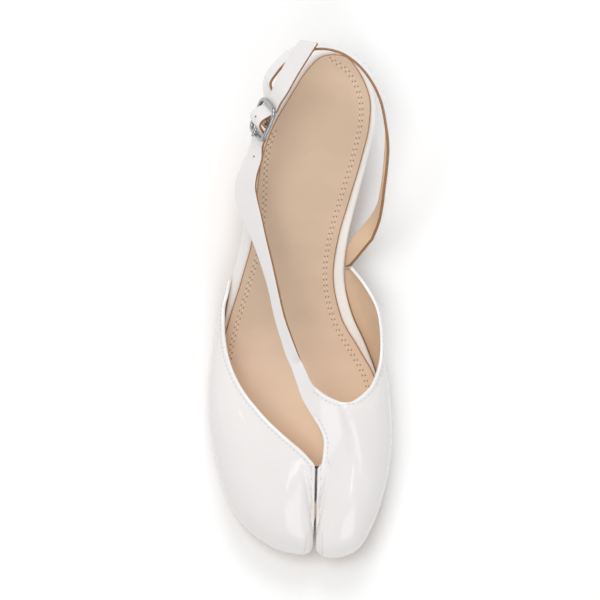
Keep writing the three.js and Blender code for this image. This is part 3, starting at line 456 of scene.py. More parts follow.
FLOOR_HALF = 3.0
FLOOR_SHINE = 0.2
CAMERA = {"height": 12.0, "view_width": 0.284, "sensor_mm": 36.0, "clip_end": 50.0}
SOFTBOXES = Table(
    "x y z aim_x aim_y width length power",
    (-0.45, 0.25, 2.2, 0, 0, 1.1, 1.1, 15),
    (0.0, 1.6, 1.7, 0, -0.06, 0.8, 0.7, 13),
    (0.3, -1.6, 1.7, 0, 0, 1.0, 1.0, 7),
    (0.12, -0.72, 1.64, 0, -0.08, 0.26, 0.18, 0.6),
)
SKY = {"Color": (1.0, 1.0, 1.0, 1.0), "Strength": 0.53}

# Finishes

FINISH_PREFIX = "shoe_"  # keeps a finish apart from the frame's plain material of the same name
FOLD = {"band": 0.95, "soft": 0.3, "groove_at": 1.7, "groove": 0.42}
TOE_SEAMS = {
    "start_y": -109.0,
    "reach": 2.0,
    "width": 0.4,
    "lateral_x": 3.7,
    "lateral_slope": 0.2,
    "medial_x": 10.1,
}
RELIEF = {"band": 0.6, "stitched": 0.35, "seam": 0.9, "grain": 0.04, "depth": 0.16}
GLAZE = {"specular_ior_level": 0.2, "coat_weight": 0.6, "coat_roughness": 0.07}
CLOUD = {"size": 22, "from": 0.35, "to": 0.7, "dark": 0.985}
SKIN_GRAIN = {"fine": 0.55, "cells": 0.75}
# Painted highlight and shade on the white leather: how far the folded band is painted lighter, how
# much the stitch groove and the toe seams are painted darker, and how dark that shade is
PAINTED_SHADE_AND_HIGHLIGHT = {"fold": 0.8, "stitched": 0.12, "seam": 0.3, "dark": 0.68}
SHEEN = {"least": 0.24, "cloud": 0.10, "grain": 0.08, "band": 0.04}
PORES = {"fine": 0.6, "shown": 0.25, "reach": 0.12, "dark": 0.75, "rough": 0.12}
BLOTCH = {"size": 26, "from": 0.3, "to": 0.72, "smooth": 0.04}
POLISH = {"wear": 1.5, "brushing": 0.3, "from": 0.3, "to": 0.75, "dark": 0.94, "light": 1.04}
POLISHED = {"least": 0.08, "wear": 0.08, "brushing": 0.05, "depth": 0.004}
PAINTED_TOE_LIGHT = {"from": 0.0, "to": -90.0}  # where the painted light towards the toe starts, and where it is strongest
LEATHERS = {
    "lining_leather": {"roughness": 0.5, "grain": 0.7, "depth": 0.05, "blotch": 0.06},
    "rim_leather": {"roughness": 0.36, "grain": 0.6, "depth": 0.03, "blotch": 0.02},
    # The sock is painted paler towards the toe: painted light in place of light reaching under the
    # toe lobes
    "sock_leather": {"roughness": 0.46, "grain": 0.6, "depth": 0.025, "blotch": 0.05, "worn": 0.6},
    "sole_leather": {"roughness": 0.5, "grain": 0.8, "depth": 0.05, "blotch": 0.1},
    "heel_cover": {"roughness": 0.3, "grain": 0.6, "depth": 0.03, "blotch": 0.02},
}
# Size and detail of the mottling, where it turns from dark to light, its dark and light tint,
# the least roughness and how far it rises, and the depth of the relief
MOTTLING = {
    "edge": (1.2, 3, 0.3, 0.7, 0.82, 1.1, 0.4, 0.2, 0.05),
    "thread": (0.25, 2, 0.3, 0.7, 0.85, 1.05, 0.5, 0.2, 0.04),
    "hole": (0.4, 1, 0.3, 0.7, 0.8, 1.2, 0.75, 0.1, 0),
    "rubber": (0.6, 3, 0.35, 0.7, 0.8, 1.25, 0.6, 0.15, 0.06),
    "floor": (400, 2, 0.3, 0.7, 0.997, 1.0, 0.75, 0.05, 0),
}


# Edge of the insole board


def bed_height(y):
    return FOOT_BED.at_y("z", y)


class BoardEdge:
    """Edge of the board on one side, from the rear of the cleft round the toe and to the heel."""

    def __init__(self, side):
        self.side = side
        out = OUTWARD[side]
        rear = np.array([CLEFT["rear_x"] - out * CLEFT_SLOT, CLEFT["rear_y"]])
        front = np.array([CLEFT["front_x"] - out * CLEFT_SLOT, CLEFT["front_y"]])
        outer = BOARD_EDGE.points(f"{side} y")[::-1]
        back = HEEL_BACK["x"]
        shoulder = (back + out * (HEEL_BACK["shoulder_x"] - back), HEEL_BACK["shoulder_y"])
        toe = TOES[side].points("x y")
        rows = [rear, (rear + front) / 2, front, toe, outer, shoulder, (back, HEEL_BACK["y"])]
        self.line = centripetal(np.vstack(rows))
        self.run = lengths_along(self.line)
        self.length = self.run[-1]
        along = unit(np.gradient(self.line, self.run, axis=0))
        self.normals = np.column_stack([-out * along[:, 1], out * along[:, 0]])
        self.tip = float(self.run[np.argmin(self.line[:, 1])])

    def pick(self, rows, runs):
        runs = np.atleast_1d(runs)
        return np.column_stack([np.interp(runs, self.run, rows[:, k]) for k in range(2)])

    def outward(self, runs):
        return unit(self.pick(self.normals, runs))

    def at(self, runs, offset=0.0):
        offset = np.broadcast_to(np.asarray(offset, float), np.atleast_1d(runs).shape)
        return self.pick(self.line, runs) + self.outward(runs) * offset[:, None]

    def run_at_y(self, y):
        """Length along the edge at which its outer side passes y."""
        outer = self.run > self.tip
        return float(np.interp(y, self.line[outer, 1], self.run[outer]))


EDGES = {side: BoardEdge(side) for side in OUTWARD}


def cleft_x(y):
    """Where the middle of the cleft lies."""
    ends = [[CLEFT[f"{end}_{axis}"] for end in ("front", "rear")] for axis in "yx"]
    return np.interp(y, *ends)


# Ribs of the upper


def rib_line(edge, row):
    """One rib, from the board's edge over the shoulder to the topline."""
    foot = np.append(edge.at(row["foot"], CLEARANCE + WALL)[0], 0)
    fade_end = CLEFT_FLOOR["end"] + CLEFT_FLOOR["fade"]
    on_floor = 1 - smoothstep(row["foot"], CLEFT_FLOOR["end"], fade_end)
    foot[2] = bed_height(foot[1])[0] + WALL * on_floor
    top = np.array([row["x"], row["y"], row["z"]])
    shoulder = foot + np.append(edge.outward(row["foot"])[0] * row["out"], 0)
    shoulder[2] = max(row["high"], foot[2] + LEAST_RISE)
    crown = shoulder + (top - shoulder) * CROWN_AT + np.array([0, 0, row["crown"]])
    cover = bezier(shoulder, crown, top, COVER_POINTS)
    wall_end = np.clip(row["wall_round"] / np.linalg.norm(shoulder - foot), 0, ROUND_SHARE)
    cover_start = np.clip(row["top_round"] / lengths_along(cover)[-1], 0, ROUND_SHARE)
    start = shoulder + (foot - shoulder) * wall_end
    rise = np.linspace(foot, start, RIB_STEPS["wall"] + 1)
    bend = bezier(start, shoulder, on_line(cover, [cover_start])[0], RIB_STEPS["bend"] + 1)
    run = on_line(cover, np.linspace(cover_start, 1, RIB_STEPS["cover"] + 1))
    return np.vstack([rise, bend[1:], run[1:]])


def lobe(edge, table, corner=0):
    """Ribs of one lobe side by side, and the columns at which the table's rows lie."""
    places = []
    starts = []
    for i, split in enumerate(table["split"]):
        starts.append(len(places))
        count = max(int(split) * FINE, 1)
        places.extend(i + k / count for k in range(count))
    ribs = table.between(places, corner).named_rows()
    return np.array([rib_line(edge, row) for row in ribs]), starts


# Straps


def strap_axes(along, lean, hand):
    """Along a strap, up across its width and out of its face."""
    along = np.atleast_2d(along)
    lean = np.radians(np.atleast_1d(lean))[:, None]
    side = unit(np.cross(along, UP)) * hand
    rise = unit(UP - along * along[:, 2:3])
    up = rise * np.cos(lean) + side * np.sin(lean)
    out = side * np.cos(lean) - rise * np.sin(lean)
    return along, up, out


def buckle_axes():
    heading, climb = (math.radians(BUCKLE[key]) for key in ("heading", "climb"))
    level = math.cos(climb)
    along = (math.sin(heading) * level, math.cos(heading) * level, math.sin(climb))
    return [axis[0] for axis in strap_axes(along, BUCKLE["lean"], HAND["front"])]


BUCKLE_ALONG, BUCKLE_UP, BUCKLE_OUT = buckle_axes()


def on_buckle(along, out, up):
    """Points on the buckle: along the strap, out of its face, up across its width."""
    along, out, up = (np.atleast_1d(np.asarray(v, float))[:, None] for v in (along, out, up))
    return np.array(BUCKLE["place"]) + along * BUCKLE_ALONG + out * BUCKLE_OUT + up * BUCKLE_UP


def sections(middles, ups, widths):
    """Rows of a strap, each its lower and its upper edge, from its middle and its width."""
    widths = np.broadcast_to(widths, len(middles))[:, None]
    half = np.broadcast_to(ups, np.shape(middles)) * widths / 2
    return np.column_stack([middles - half, middles + half])


def table_sections(table, hand, anchor):
    points = table.points()
    _, up, _ = strap_axes(unit(np.gradient(points, axis=0)), table["lean"], hand)
    return sections(points - up * (anchor * table["width"])[:, None], up, table["width"])


def loft(rows, skip=0):
    """Smooth close sections through a few, past the first skipped ones."""
    run = lengths_along(rows)
    spans = np.diff(run)[:, None]
    steps = np.diff(rows, axis=0) / spans
    inner = (steps[:-1] * spans[1:] + steps[1:] * spans[:-1]) / (spans[1:] + spans[:-1])
    count = int(round((run[-1] - run[skip]) / math.sqrt(2) / STRAP_STEP))
    places = np.linspace(run[skip], run[-1], count + 1)
    return hermite(rows, np.vstack([steps[:1], inner, steps[-1:]]), run, places)


def strap_grid(rows, sign, thickness):
    """Outer surface of a strap, half its thickness out of its middle sections."""
    low, high = rows[:, :3], rows[:, 3:]
    along = unit(np.gradient(low + high, axis=0))
    out = unit(np.cross(along, high - low)) * sign
    lift = out * np.reshape(thickness, (-1, 1)) / 2
    return ruled(low, high, ACROSS) + lift[:, None]


def neck_rows(places):
    """Outer surface of the front strap's neck between its two edges."""
    table = STRAP_NECK.between(places)
    edge = table.points()
    throat = table.points(THROAT)
    across = unit((throat - edge)[:, :2])
    away = np.column_stack([across[:, 1], -across[:, 0], np.full(len(edge), -BOW_DROP)])
    bow = away * table["bow"][:, None]
    shares = np.linspace(0, 1, ACROSS + 1)[None, :, None]
    return ruled(edge, throat, ACROSS) + bow[:, None] * np.sin(math.pi * shares)


def front_strap_rows():
    """Sections of the front strap, from the end of its neck through the buckle to its tail."""
    edge = STRAP_NECK.points()[-2:]
    throat = STRAP_NECK.points(THROAT)[-2:]
    along = edge[1] + throat[1] - edge[0] - throat[0]
    lift = unit(np.cross(along, throat - edge)) * HAND["front"] * WALL / 2
    neck = np.column_stack([edge - lift, throat - lift])
    along = np.linspace(-THREADED["reach"], THREADED["reach"], THREADED["steps"] + 1)
    drop = smoothstep(np.abs(along), THREADED["crest"], BAR_REACH - THREADED["under_bar"])
    out = STRAP_OVER + (STRAP_UNDER - STRAP_OVER) * drop
    threaded = sections(on_buckle(along, out, 0 * along), BUCKLE_UP, THREADED["width"])
    front, tail = (
        table_sections(table, HAND["front"], ANCHOR["middle"])
        for table in (FRONT_STRAP, STRAP_TAIL)
    )
    tail_along = unit(np.diff(STRAP_TAIL.points(), axis=0)[-1])
    slant = tail_along * TAIL_SKEW * STRAP_TAIL["width"][-1] / 2
    tail[-1] += np.concatenate([-slant, slant])
    return loft(np.vstack([neck, front, threaded, tail]), skip=1)


def heel_strap_rows():
    """Sections of the heel strap from the waist to its loop on the buckle, and their thickness."""
    edge = EDGES["medial"]
    runs = [edge.run_at_y(y) for y in HEEL_STRAP_BASE["foot_y"]]
    foot = edge.at(runs, CLEARANCE + WALL / 2)
    base = np.column_stack([foot, bed_height(foot[:, 1]), HEEL_STRAP_BASE.points()])
    round_heel = table_sections(HEEL_STRAP, HAND["heel"], ANCHOR["upper_edge"])
    lead_middles = on_buckle(*(LOOP_LEAD[column] for column in ("along", "out", "up")))
    lead = sections(lead_middles, BUCKLE_UP, LOOP_LEAD["width"])
    angle = np.radians(np.linspace(LOOP_ARC["from"], LOOP_ARC["to"], LOOP_ARC["steps"] + 1))
    loop = on_buckle(LOOP_RADIUS * np.cos(angle), LOOP_RADIUS * np.sin(angle), 0 * angle)
    arc = sections(loop, BUCKLE_UP, LOOP_ARC["width"])
    close = loft(np.vstack([base, round_heel, lead, arc[:1]]))
    thickness = np.full(len(close), WALL)
    thickness[-LOOP_SKIVED:] = np.linspace(WALL, LOOP_THICKNESS, LOOP_SKIVED)
    thin = np.full(len(arc) - 1, LOOP_THICKNESS)
    return np.vstack([close, arc[1:]]), np.append(thickness, thin)


# Leather skins

WELD_STEPS = 200  # points that fall on the same step of a millimetre are one
ROOT_STEP = 0.5
FOLD_STEP = 0.25
OUTER, EDGE, LINING = range(3)


class Skin:
    """Outer surface of a leather piece, put together from patches that share their borders."""

    def __init__(self):
        self.points = []
        self.faces = []
        self.places = {}

    def vertex(self, point):
        key = tuple(np.round(np.asarray(point) * WELD_STEPS).astype(int))
        if key not in self.places:
            self.places[key] = len(self.points)
            self.points.append(np.asarray(point, float))
        return self.places[key]

    def line(self, points):
        return [self.vertex(point) for point in points]

    def face(self, *corners):
        kept = [c for k, c in enumerate(corners) if c != corners[k - 1]]
        if len(set(kept)) == len(kept) > 2:
            self.faces.append(kept)

    def patch(self, grid, flip):
        ids = [self.line(row) for row in grid]
        for left, right in zip(ids, ids[1:]):
            for j in range(len(left) - 1):
                corners = (left[j], right[j], right[j + 1], left[j + 1])
                self.face(*(corners[::-1] if flip else corners))
        return ids

    def band(self, start, end):
        """Faces between two lines with different numbers of points."""
        shares = [lengths_along(line) / lengths_along(line)[-1] for line in (start, end)]
        a, b = self.line(start), self.line(end)
        i = j = 0
        while i + 1 < len(a) or j + 1 < len(b):
            if j + 1 == len(b) or (i + 1 < len(a) and shares[0][i + 1] <= shares[1][j + 1]):
                self.face(a[i], a[i + 1], b[j])
                i += 1
            else:
                self.face(a[i], b[j + 1], b[j])
                j += 1


def vertex_normals(points, faces):
    corners = np.array([(f[0], f[k], f[k + 1]) for f in faces for k in range(1, len(f) - 1)])
    a, b, c = (points[corners[:, k]] for k in range(3))
    normals = np.zeros_like(points)
    for k in range(3):
        np.add.at(normals, corners[:, k], np.cross(b - a, c - a))
    return unit(normals)


def sides_of(faces):
    return {(f[k - 1], f[k]) for f in faces for k in range(len(f))}


def edges_of(faces):
    """Each edge once, as a pair of points."""
    return np.array(list({tuple(sorted(side)) for side in sides_of(faces)}))


def border_edges(faces):
    """Directed edges that belong to one face only."""
    sides = sides_of(faces)
    return [(a, b) for a, b in sides if (b, a) not in sides]


def border_mask(points, faces):
    mask = np.zeros(len(points), bool)
    mask[np.array(border_edges(faces)).ravel()] = True
    return mask


def relax(points, faces, free, rounds):
    """Fairs the free points without shrinking the surface; border points move along the border."""
    edges = edges_of(faces)
    on_border = border_mask(points, faces)[edges]
    pairs = edges[~on_border.any(axis=1)]
    tied = on_border[:, 0] != on_border[:, 1]
    ties, first_out = edges[tied], on_border[tied, 0]
    inward = np.where(first_out, ties[:, 1], ties[:, 0])
    outward = np.where(first_out, ties[:, 0], ties[:, 1])
    rim = np.array(border_edges(faces))
    to = np.concatenate([pairs[:, 0], pairs[:, 1], inward, rim[:, 0], rim[:, 1]])
    of = np.concatenate([pairs[:, 1], pairs[:, 0], outward, rim[:, 1], rim[:, 0]])
    count = np.maximum(np.bincount(to, minlength=len(points)), 1)[:, None]
    moved = points.copy()
    for step in SWING * rounds:
        sums = [np.bincount(to, moved[of, k], len(points)) for k in range(3)]
        moved[free] += step * (np.column_stack(sums) / count - moved)[free]
    return moved


def fair(points, faces, free):
    """Blends the free points into the surface round them, as a thin plate would bend."""
    ends = edges_of(faces)
    ends = np.vstack([ends, ends[:, ::-1]])
    near = free.copy()
    near[ends[free[ends[:, 0]], 1]] = True
    near &= ~border_mask(points, faces)
    rows = np.full(len(points), -1)
    rows[near] = np.arange(near.sum())
    links = ends[near[ends[:, 0]]]
    used = np.unique(links)
    columns = np.full(len(points), -1)
    columns[used] = np.arange(len(used))
    degree = np.bincount(links[:, 0], minlength=len(points))
    bend = np.zeros((near.sum(), len(used)))
    bend[rows[links[:, 0]], columns[links[:, 1]]] = 1 / degree[links[:, 0]]
    bend[rows[near], columns[near]] -= 1
    moving = free[used]
    loose = bend[:, moving]
    held = bend[:, ~moving] @ points[used[~moving]]
    faired = points.copy()
    faired[used[moving]] = np.linalg.solve(loose.T @ loose, -loose.T @ held)
    return faired


def nearest_on(line, points):
    """Number of the line's nearest point and the distance to it, for each point."""
    tree = KDTree(len(line))
    for i, place in enumerate(line):
        tree.insert(place, i)
    tree.balance()
    found = [tree.find(point) for point in points]
    return np.array([hit[1] for hit in found]), np.array([hit[2] for hit in found])


class UpperSkin(Skin):
    """Skin of the upper: both toe lobes, the cleft's floor, the neck and the front strap."""

    def __init__(self):
        super().__init__()
        self.small, _ = lobe(EDGES["lateral"], SMALL_TOE_RIBS)
        self.big, self.starts = lobe(EDGES["medial"], BIG_TOE_RIBS, STRAP_ROOT)
        self.patch(self.small, True)
        self.small_end = len(self.points)
        self.patch(self.big, False)
        floor = int(SMALL_TOE_RIBS["split"][0]) * FINE + 1
        self.patch(list(zip(self.small[:floor, 0], self.big[:floor, 0])), False)
        root_end = self.starts[STRAP_ROOT]
        self.root = self.big[: root_end + 1, -1]
        self.neck = neck_rows(np.linspace(0, len(STRAP_NECK.rows) - 1, NECK_ROWS + 1)[1:])
        self.band(self.root, self.neck[0])
        self.neck_ids = self.patch(self.neck, True)
        self.lobes_end = len(self.points)
        strap = strap_grid(front_strap_rows()[1:], HAND["front"], WALL)
        self.strap_ids = self.patch(np.concatenate([self.neck[-1:], strap]), True)
        self.topline = self.line(self.small[:, -1])
        self.throat = self.line([*self.neck[:, -1][::-1], *self.big[root_end:, -1]])
        self.opening = self.line(self.neck[:, 0])

    def near_root(self, points):
        """Which points lie near the strap's root; the region narrows to nothing at its start."""
        line = resample(self.root, ROOT_STEP)
        near, distance = nearest_on(line * PLAN, points * PLAN)
        return distance < np.minimum(ROOT_REACH, ROOT_TAPER * lengths_along(line)[near])

    def smooth(self):
        """The skin's points once the leather is drawn smooth."""
        small, big, faces = self.small, self.big, self.faces
        inside = ~border_mask(self.points, faces)
        free = np.arange(len(self.points)) < self.lobes_end
        held = (small[0], big[0], small[-1], big[-1], small[:, 0], big[:, 0], self.neck[-1])
        for line in held:
            free[self.line(line)] = False
        points = relax(np.array(self.points), faces, free, FIRST_ROUNDS)
        cover = free.copy()
        for column in (*small, *big):
            cover[self.line(column[:COVER_FROM])] = False
        blended = free & self.near_root(points)
        first, last = (self.starts[rib] for rib in CORNER_RIBS)
        for column in big[first:last]:
            ids = np.array(self.line(column[COVER_FROM:]))
            from_corner = np.linalg.norm(points[ids] - self.root[0], axis=1)
            blended[ids[from_corner < CORNER_REACH]] = True
        blended[: self.small_end] = False
        points = fair(points, faces, blended & inside)
        points = relax(points, faces, cover, COVER_ROUNDS)
        cover[: self.small_end] = False
        for column in big[self.starts[ROUND_RIB] : -1]:
            cover[self.line(column[RIB_STEPS["wall"] :])] = True
        return relax(points, faces, cover & inside, ROUND_ROUNDS)

    def fold(self, points):
        """Distance of each point from the folded edges; the fold runs out along the strap."""
        strap_edges = [[row[k] for row in self.strap_ids] for k in (0, -1)]
        lines = (self.topline, self.throat, self.opening, *strap_edges)
        edge = np.vstack([resample(points[ids], FOLD_STEP) for ids in lines])
        fold = np.minimum(nearest_on(edge, points)[1], FOLD_REACH)
        for k, row in enumerate([*self.neck_ids[NECK_SEWN:], *self.strap_ids[1:]]):
            fold[row] = np.minimum(fold[row] + k * FOLD_FADE, FOLD_REACH)
        x, y, _ = points.T
        beside = np.abs(x - cleft_x(y)) - CLEFT["gap"] / 2
        front = CLEFT["front_y"] - FOLD_PAST_CLEFT["front"]
        rear = CLEFT["rear_y"] + FOLD_PAST_CLEFT["rear"]
        in_cleft = (y < rear) & (y > front) & (beside < FOLD_REACH)
        fold[in_cleft] = np.minimum(fold[in_cleft], np.maximum(beside[in_cleft], 0))
        return fold


def leather_mesh(name, points, faces, thickness, fold, turned):
    """A leather shell: outer face, rounded edge and lining, with the distance from the folded edge.
    The leather is turned over most of the edge at the turned points, and cut at the rest."""
    thickness = np.broadcast_to(thickness, len(points))
    normals = vertex_normals(points, faces)
    inner = points - normals * thickness[:, None]
    count = len(points)
    border = border_edges(faces)
    follow = dict(border)
    lead = {b: a for a, b in border}
    angles = np.linspace(0, math.pi, EDGE_STEPS + 1)[1:-1, None]
    all_points = [points, inner]
    distances = [fold, np.full(count, FOLD_REACH)]
    rings = {}
    total = 2 * count
    for i in follow:
        away = unit(np.cross(unit(points[follow[i]] - points[lead[i]]), normals[i]))
        swing = np.cos(angles) * normals[i] + EDGE_BULGE * np.sin(angles) * away
        all_points.append((points[i] + inner[i]) / 2 + thickness[i] / 2 * swing)
        distances.append(np.full(len(angles), fold[i]))
        rings[i] = [i, *range(total, total + len(angles)), i + count]
        total += len(angles)
    shell = [*faces, *([i + count for i in f[::-1]] for f in faces)]
    slots = [OUTER] * len(faces) + [LINING] * len(faces)
    for a, b in border:
        white = TURNED_STEPS if turned[a] else CUT_STEPS
        for k in range(EDGE_STEPS):
            shell.append([rings[b][k], rings[a][k], rings[a][k + 1], rings[b][k + 1]])
            slots.append(OUTER if k < white else EDGE)
    mesh = smooth_mesh(name, np.vstack(all_points), shell, slots)
    attribute = mesh.attributes.new("fold", "FLOAT", "POINT")
    attribute.data.foreach_set("value", np.concatenate(distances).astype(np.float32))
    return mesh


# Meshes and objects


def smooth_mesh(name, points, faces, slots):
    mesh = bpy.data.meshes.new(name)
    mesh.from_pydata(metres(points).tolist(), [], faces)
    mesh.polygons.foreach_set("material_index", slots)
    mesh.polygons.foreach_set("use_smooth", [True] * len(faces))
    return mesh


def add_object(mesh, materials, *nodes, slot):
    """Links a mesh, dresses it, and sets it on the frame in place of the named solids."""
    piece = bpy.data.objects.new(mesh.name, mesh)
    bpy.context.scene.collection.objects.link(piece)
    for material in materials:
        mesh.materials.append(material)
    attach(piece, BODY)
    if nodes:
        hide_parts(*nodes)


class Parts:
    """Points and faces of one mesh, gathered from several grids."""

    def __init__(self):
        self.points = []
        self.faces = []
        self.slots = []
        self.count = 0

    def add(self, points, faces, slot=0):
        points = np.reshape(points, (-1, 3))
        self.points.append(points)
        self.faces.extend([[i + self.count for i in f] for f in faces])
        self.slots.extend([slot] * len(faces))
        self.count += len(points)

    def grid(self, grid, slot=0, flip=False, wrap=False):
        grid = np.asarray(grid, float)
        rows, columns = grid.shape[:2]
        faces = []
        for i in range(rows - 1):
            for j in range(columns if wrap else columns - 1):
                here, past = i * columns, (i + 1) * columns
                k = (j + 1) % columns
                face = [here + j, past + j, past + k, here + k]
                faces.append(face[::-1] if flip else face)
        self.add(grid, faces, slot)

    def cap(self, ring, flip=False):
        corners = list(range(len(ring)))
        self.add(ring, [corners[::-1] if flip else corners])

    def mesh(self, name):
        return smooth_mesh(name, np.vstack(self.points), self.faces, self.slots)


TUBE_END = 0.0004  # squared share of a tube's radius that is left at its rounded ends
STEEP = 0.9  # a line that rises more than this is no longer laid out by the vertical
SIDEWAYS = np.array([1.0, 0.2, 0.1])
ASLANT = np.array([0.3, 1.0, 0.2])


def turn(count):
    """Angles once round."""
    return np.linspace(0, 2 * math.pi, count, endpoint=False)


def tube(line, radius, sides, closed=False, ends=0.0):
    """Grid of a round tube along a line; ends is how far its ends are rounded off."""
    line = np.asarray(line, float)
    step = np.roll(line, -1, 0) - np.roll(line, 1, 0) if closed else np.gradient(line, axis=0)
    along = unit(step)
    side = unit(np.cross(along, UP if abs(along[:, 2]).max() < STEEP else SIDEWAYS))
    other = np.cross(side, along)
    angle = turn(sides)[None, :, None]
    ring = side[:, None] * np.cos(angle) + other[:, None] * np.sin(angle)
    sizes = np.full(len(line), radius)
    if ends:
        run = lengths_along(line)
        near = np.clip(np.minimum(run, run[-1] - run) / ends, 0, 1)
        sizes = radius * np.sqrt(np.clip(1 - (1 - near) ** 2, TUBE_END, 1))
    grid = line[:, None] + ring * sizes[:, None, None]
    return np.vstack([grid, grid[:1]]) if closed else grid


def stitches(parts, places, along, normals, sizes):
    """Short threads that dip into the leather at both ends."""
    radius = sizes.stitch_thickness / MM / 2
    shares = np.linspace(-1, 1, STITCH["points"])[:, None]
    rise = (STITCH["rise"] - STITCH["dip"] * shares**2) * radius
    for place, direction, normal in zip(places, along, normals):
        line = place + direction * shares * sizes.stitch_length / MM / 2 + normal * rise
        parts.grid(tube(line, radius, STITCH["sides"], ends=STITCH["ends"]), wrap=True)


def on_surface(tree, places):
    """Nearest places on a surface, its normals there and how far off they are."""
    found = [tree.find_nearest(Vector(place)) for place in places]
    return [np.array([hit[k] for hit in found]) for k in (0, 1, 3)]


def row_beside(edge, tree, normals, offset):
    """Line on a surface at an offset from one of its edges."""
    inward = offset * unit(np.cross(normals, unit(np.gradient(edge, axis=0))))
    rows = [on_surface(tree, edge + sign * inward) for sign in (1, -1)]
    return min(rows, key=lambda row: row[2].sum())[0]


def sew(parts, line, tree, sizes, spread=1.0):
    """A row of stitches on the surface along a line, at their usual pitch times the spread."""
    even = resample(line, spread * sizes.stitch_pitch / MM)
    places, normals, _ = on_surface(tree, even)
    stitches(parts, places, unit(np.gradient(even, axis=0)), normals, sizes)


def dot(parts, place, normal, width):
    """A small dark round of painted shade on a surface, in place of a hole, dished at its middle.
    """
    side = unit(np.cross(normal, ASLANT))
    other = np.cross(normal, side)
    count = DOT["sides"]
    angles = turn(count)[:, None]
    spread = (np.cos(angles) * side + np.sin(angles) * other) * width / 2
    ring = place + normal * DOT["lift"] + spread
    faces = [[k, (k + 1) % count, count] for k in range(count)]
    parts.add(np.vstack([ring, place + normal * DOT["dish"]]), faces)


# Making of finishes


class Value:
    """A number that changes over a surface: a socket that can be calculated with."""

    def __init__(self, finish, socket):
        self.finish = finish
        self.socket = socket

    def math(self, operation, *numbers):
        settings = {"operation": operation}
        return self.finish.node("ShaderNodeMath", settings, dict(enumerate(numbers)))

    def __add__(self, other):
        return self.math("ADD", self, other)

    __radd__ = __add__

    def __sub__(self, other):
        return self.math("SUBTRACT", self, other)

    def __rsub__(self, other):
        return self.math("SUBTRACT", other, self)

    def __mul__(self, other):
        return self.math("MULTIPLY", self, other)

    __rmul__ = __mul__

    def __truediv__(self, other):
        return self.math("DIVIDE", self, other)

    def __rtruediv__(self, other):
        return self.math("DIVIDE", other, self)

    def __abs__(self):
        return self.math("ABSOLUTE", self)

    def ramp(self, low, high):
        """Goes smoothly from 0 to 1 as the value goes from low to high."""
        settings = {"interpolation_type": "SMOOTHSTEP"}
        return self.finish.node("ShaderNodeMapRange", settings, {0: self, 1: low, 2: high})


class Finish:
    """A material, with one way to add its nodes."""

    def __init__(self, name):
        self.material = bpy.data.materials.new(FINISH_PREFIX + name)
        self.material.use_nodes = True
        self.tree = self.material.node_tree

    def node(self, kind, settings=None, sockets=None, output=0):
        node = self.tree.nodes.new(kind)
        for key, value in (settings or {}).items():
            setattr(node, key, value)
        self.connect(node, sockets or {})
        return Value(self, node.outputs[output])

    def connect(self, node, sockets):
        for key, value in sockets.items():
            if isinstance(value, Value):
                self.tree.links.new(value.socket, node.inputs[key])
            else:
                node.inputs[key].default_value = value

    def place(self):
        return self.node("ShaderNodeTexCoord", output=3)

    def spot(self, axis):
        """Place along one axis, in millimetres in the frame that the shoe is drawn in."""
        metre = self.node("ShaderNodeSeparateXYZ", None, {0: self.place()}, output=axis)
        return metre / MM + MIDDLE[axis]

    def noise(self, size, detail):
        """Soft blotches about this many millimetres across."""
        sockets = {"Vector": self.place(), "Scale": 1 / (size * MM), "Detail": detail}
        return self.node("ShaderNodeTexNoise", None, sockets)

    def cells(self, size):
        """Distance from the middles of cells about this many millimetres across."""
        sockets = {"Vector": self.place(), "Scale": 1 / (size * MM)}
        return self.node("ShaderNodeTexVoronoi", None, sockets)

    def mix(self, factor, first, second):
        """One colour over another."""
        sockets = {0: factor, 6: first, 7: second}
        return self.node("ShaderNodeMix", {"data_type": "RGBA"}, sockets, output=2)

    def attribute(self, name):
        return self.node("ShaderNodeAttribute", {"attribute_name": name}, output=2)

    def bump(self, height, depth):
        """Normal of a surface that rises by depth millimetres where height is 1."""
        sockets = {"Height": height, "Distance": depth * MM, "Strength": 1.0}
        return self.node("ShaderNodeBump", None, sockets)

    def dress(self, **sockets):
        """Sets the shader's sockets, named in small letters."""
        titles = {key: key.replace("_", " ").title().replace("Ior", "IOR") for key in sockets}
        named = {titles[key]: value for key, value in sockets.items()}
        self.connect(self.tree.nodes["Principled BSDF"], named)
        return self.material


def tinted(colour, factor):
    """A colour made lighter or darker."""
    return (*(min(c * factor, 1.0) for c in colour[:3]), 1.0)


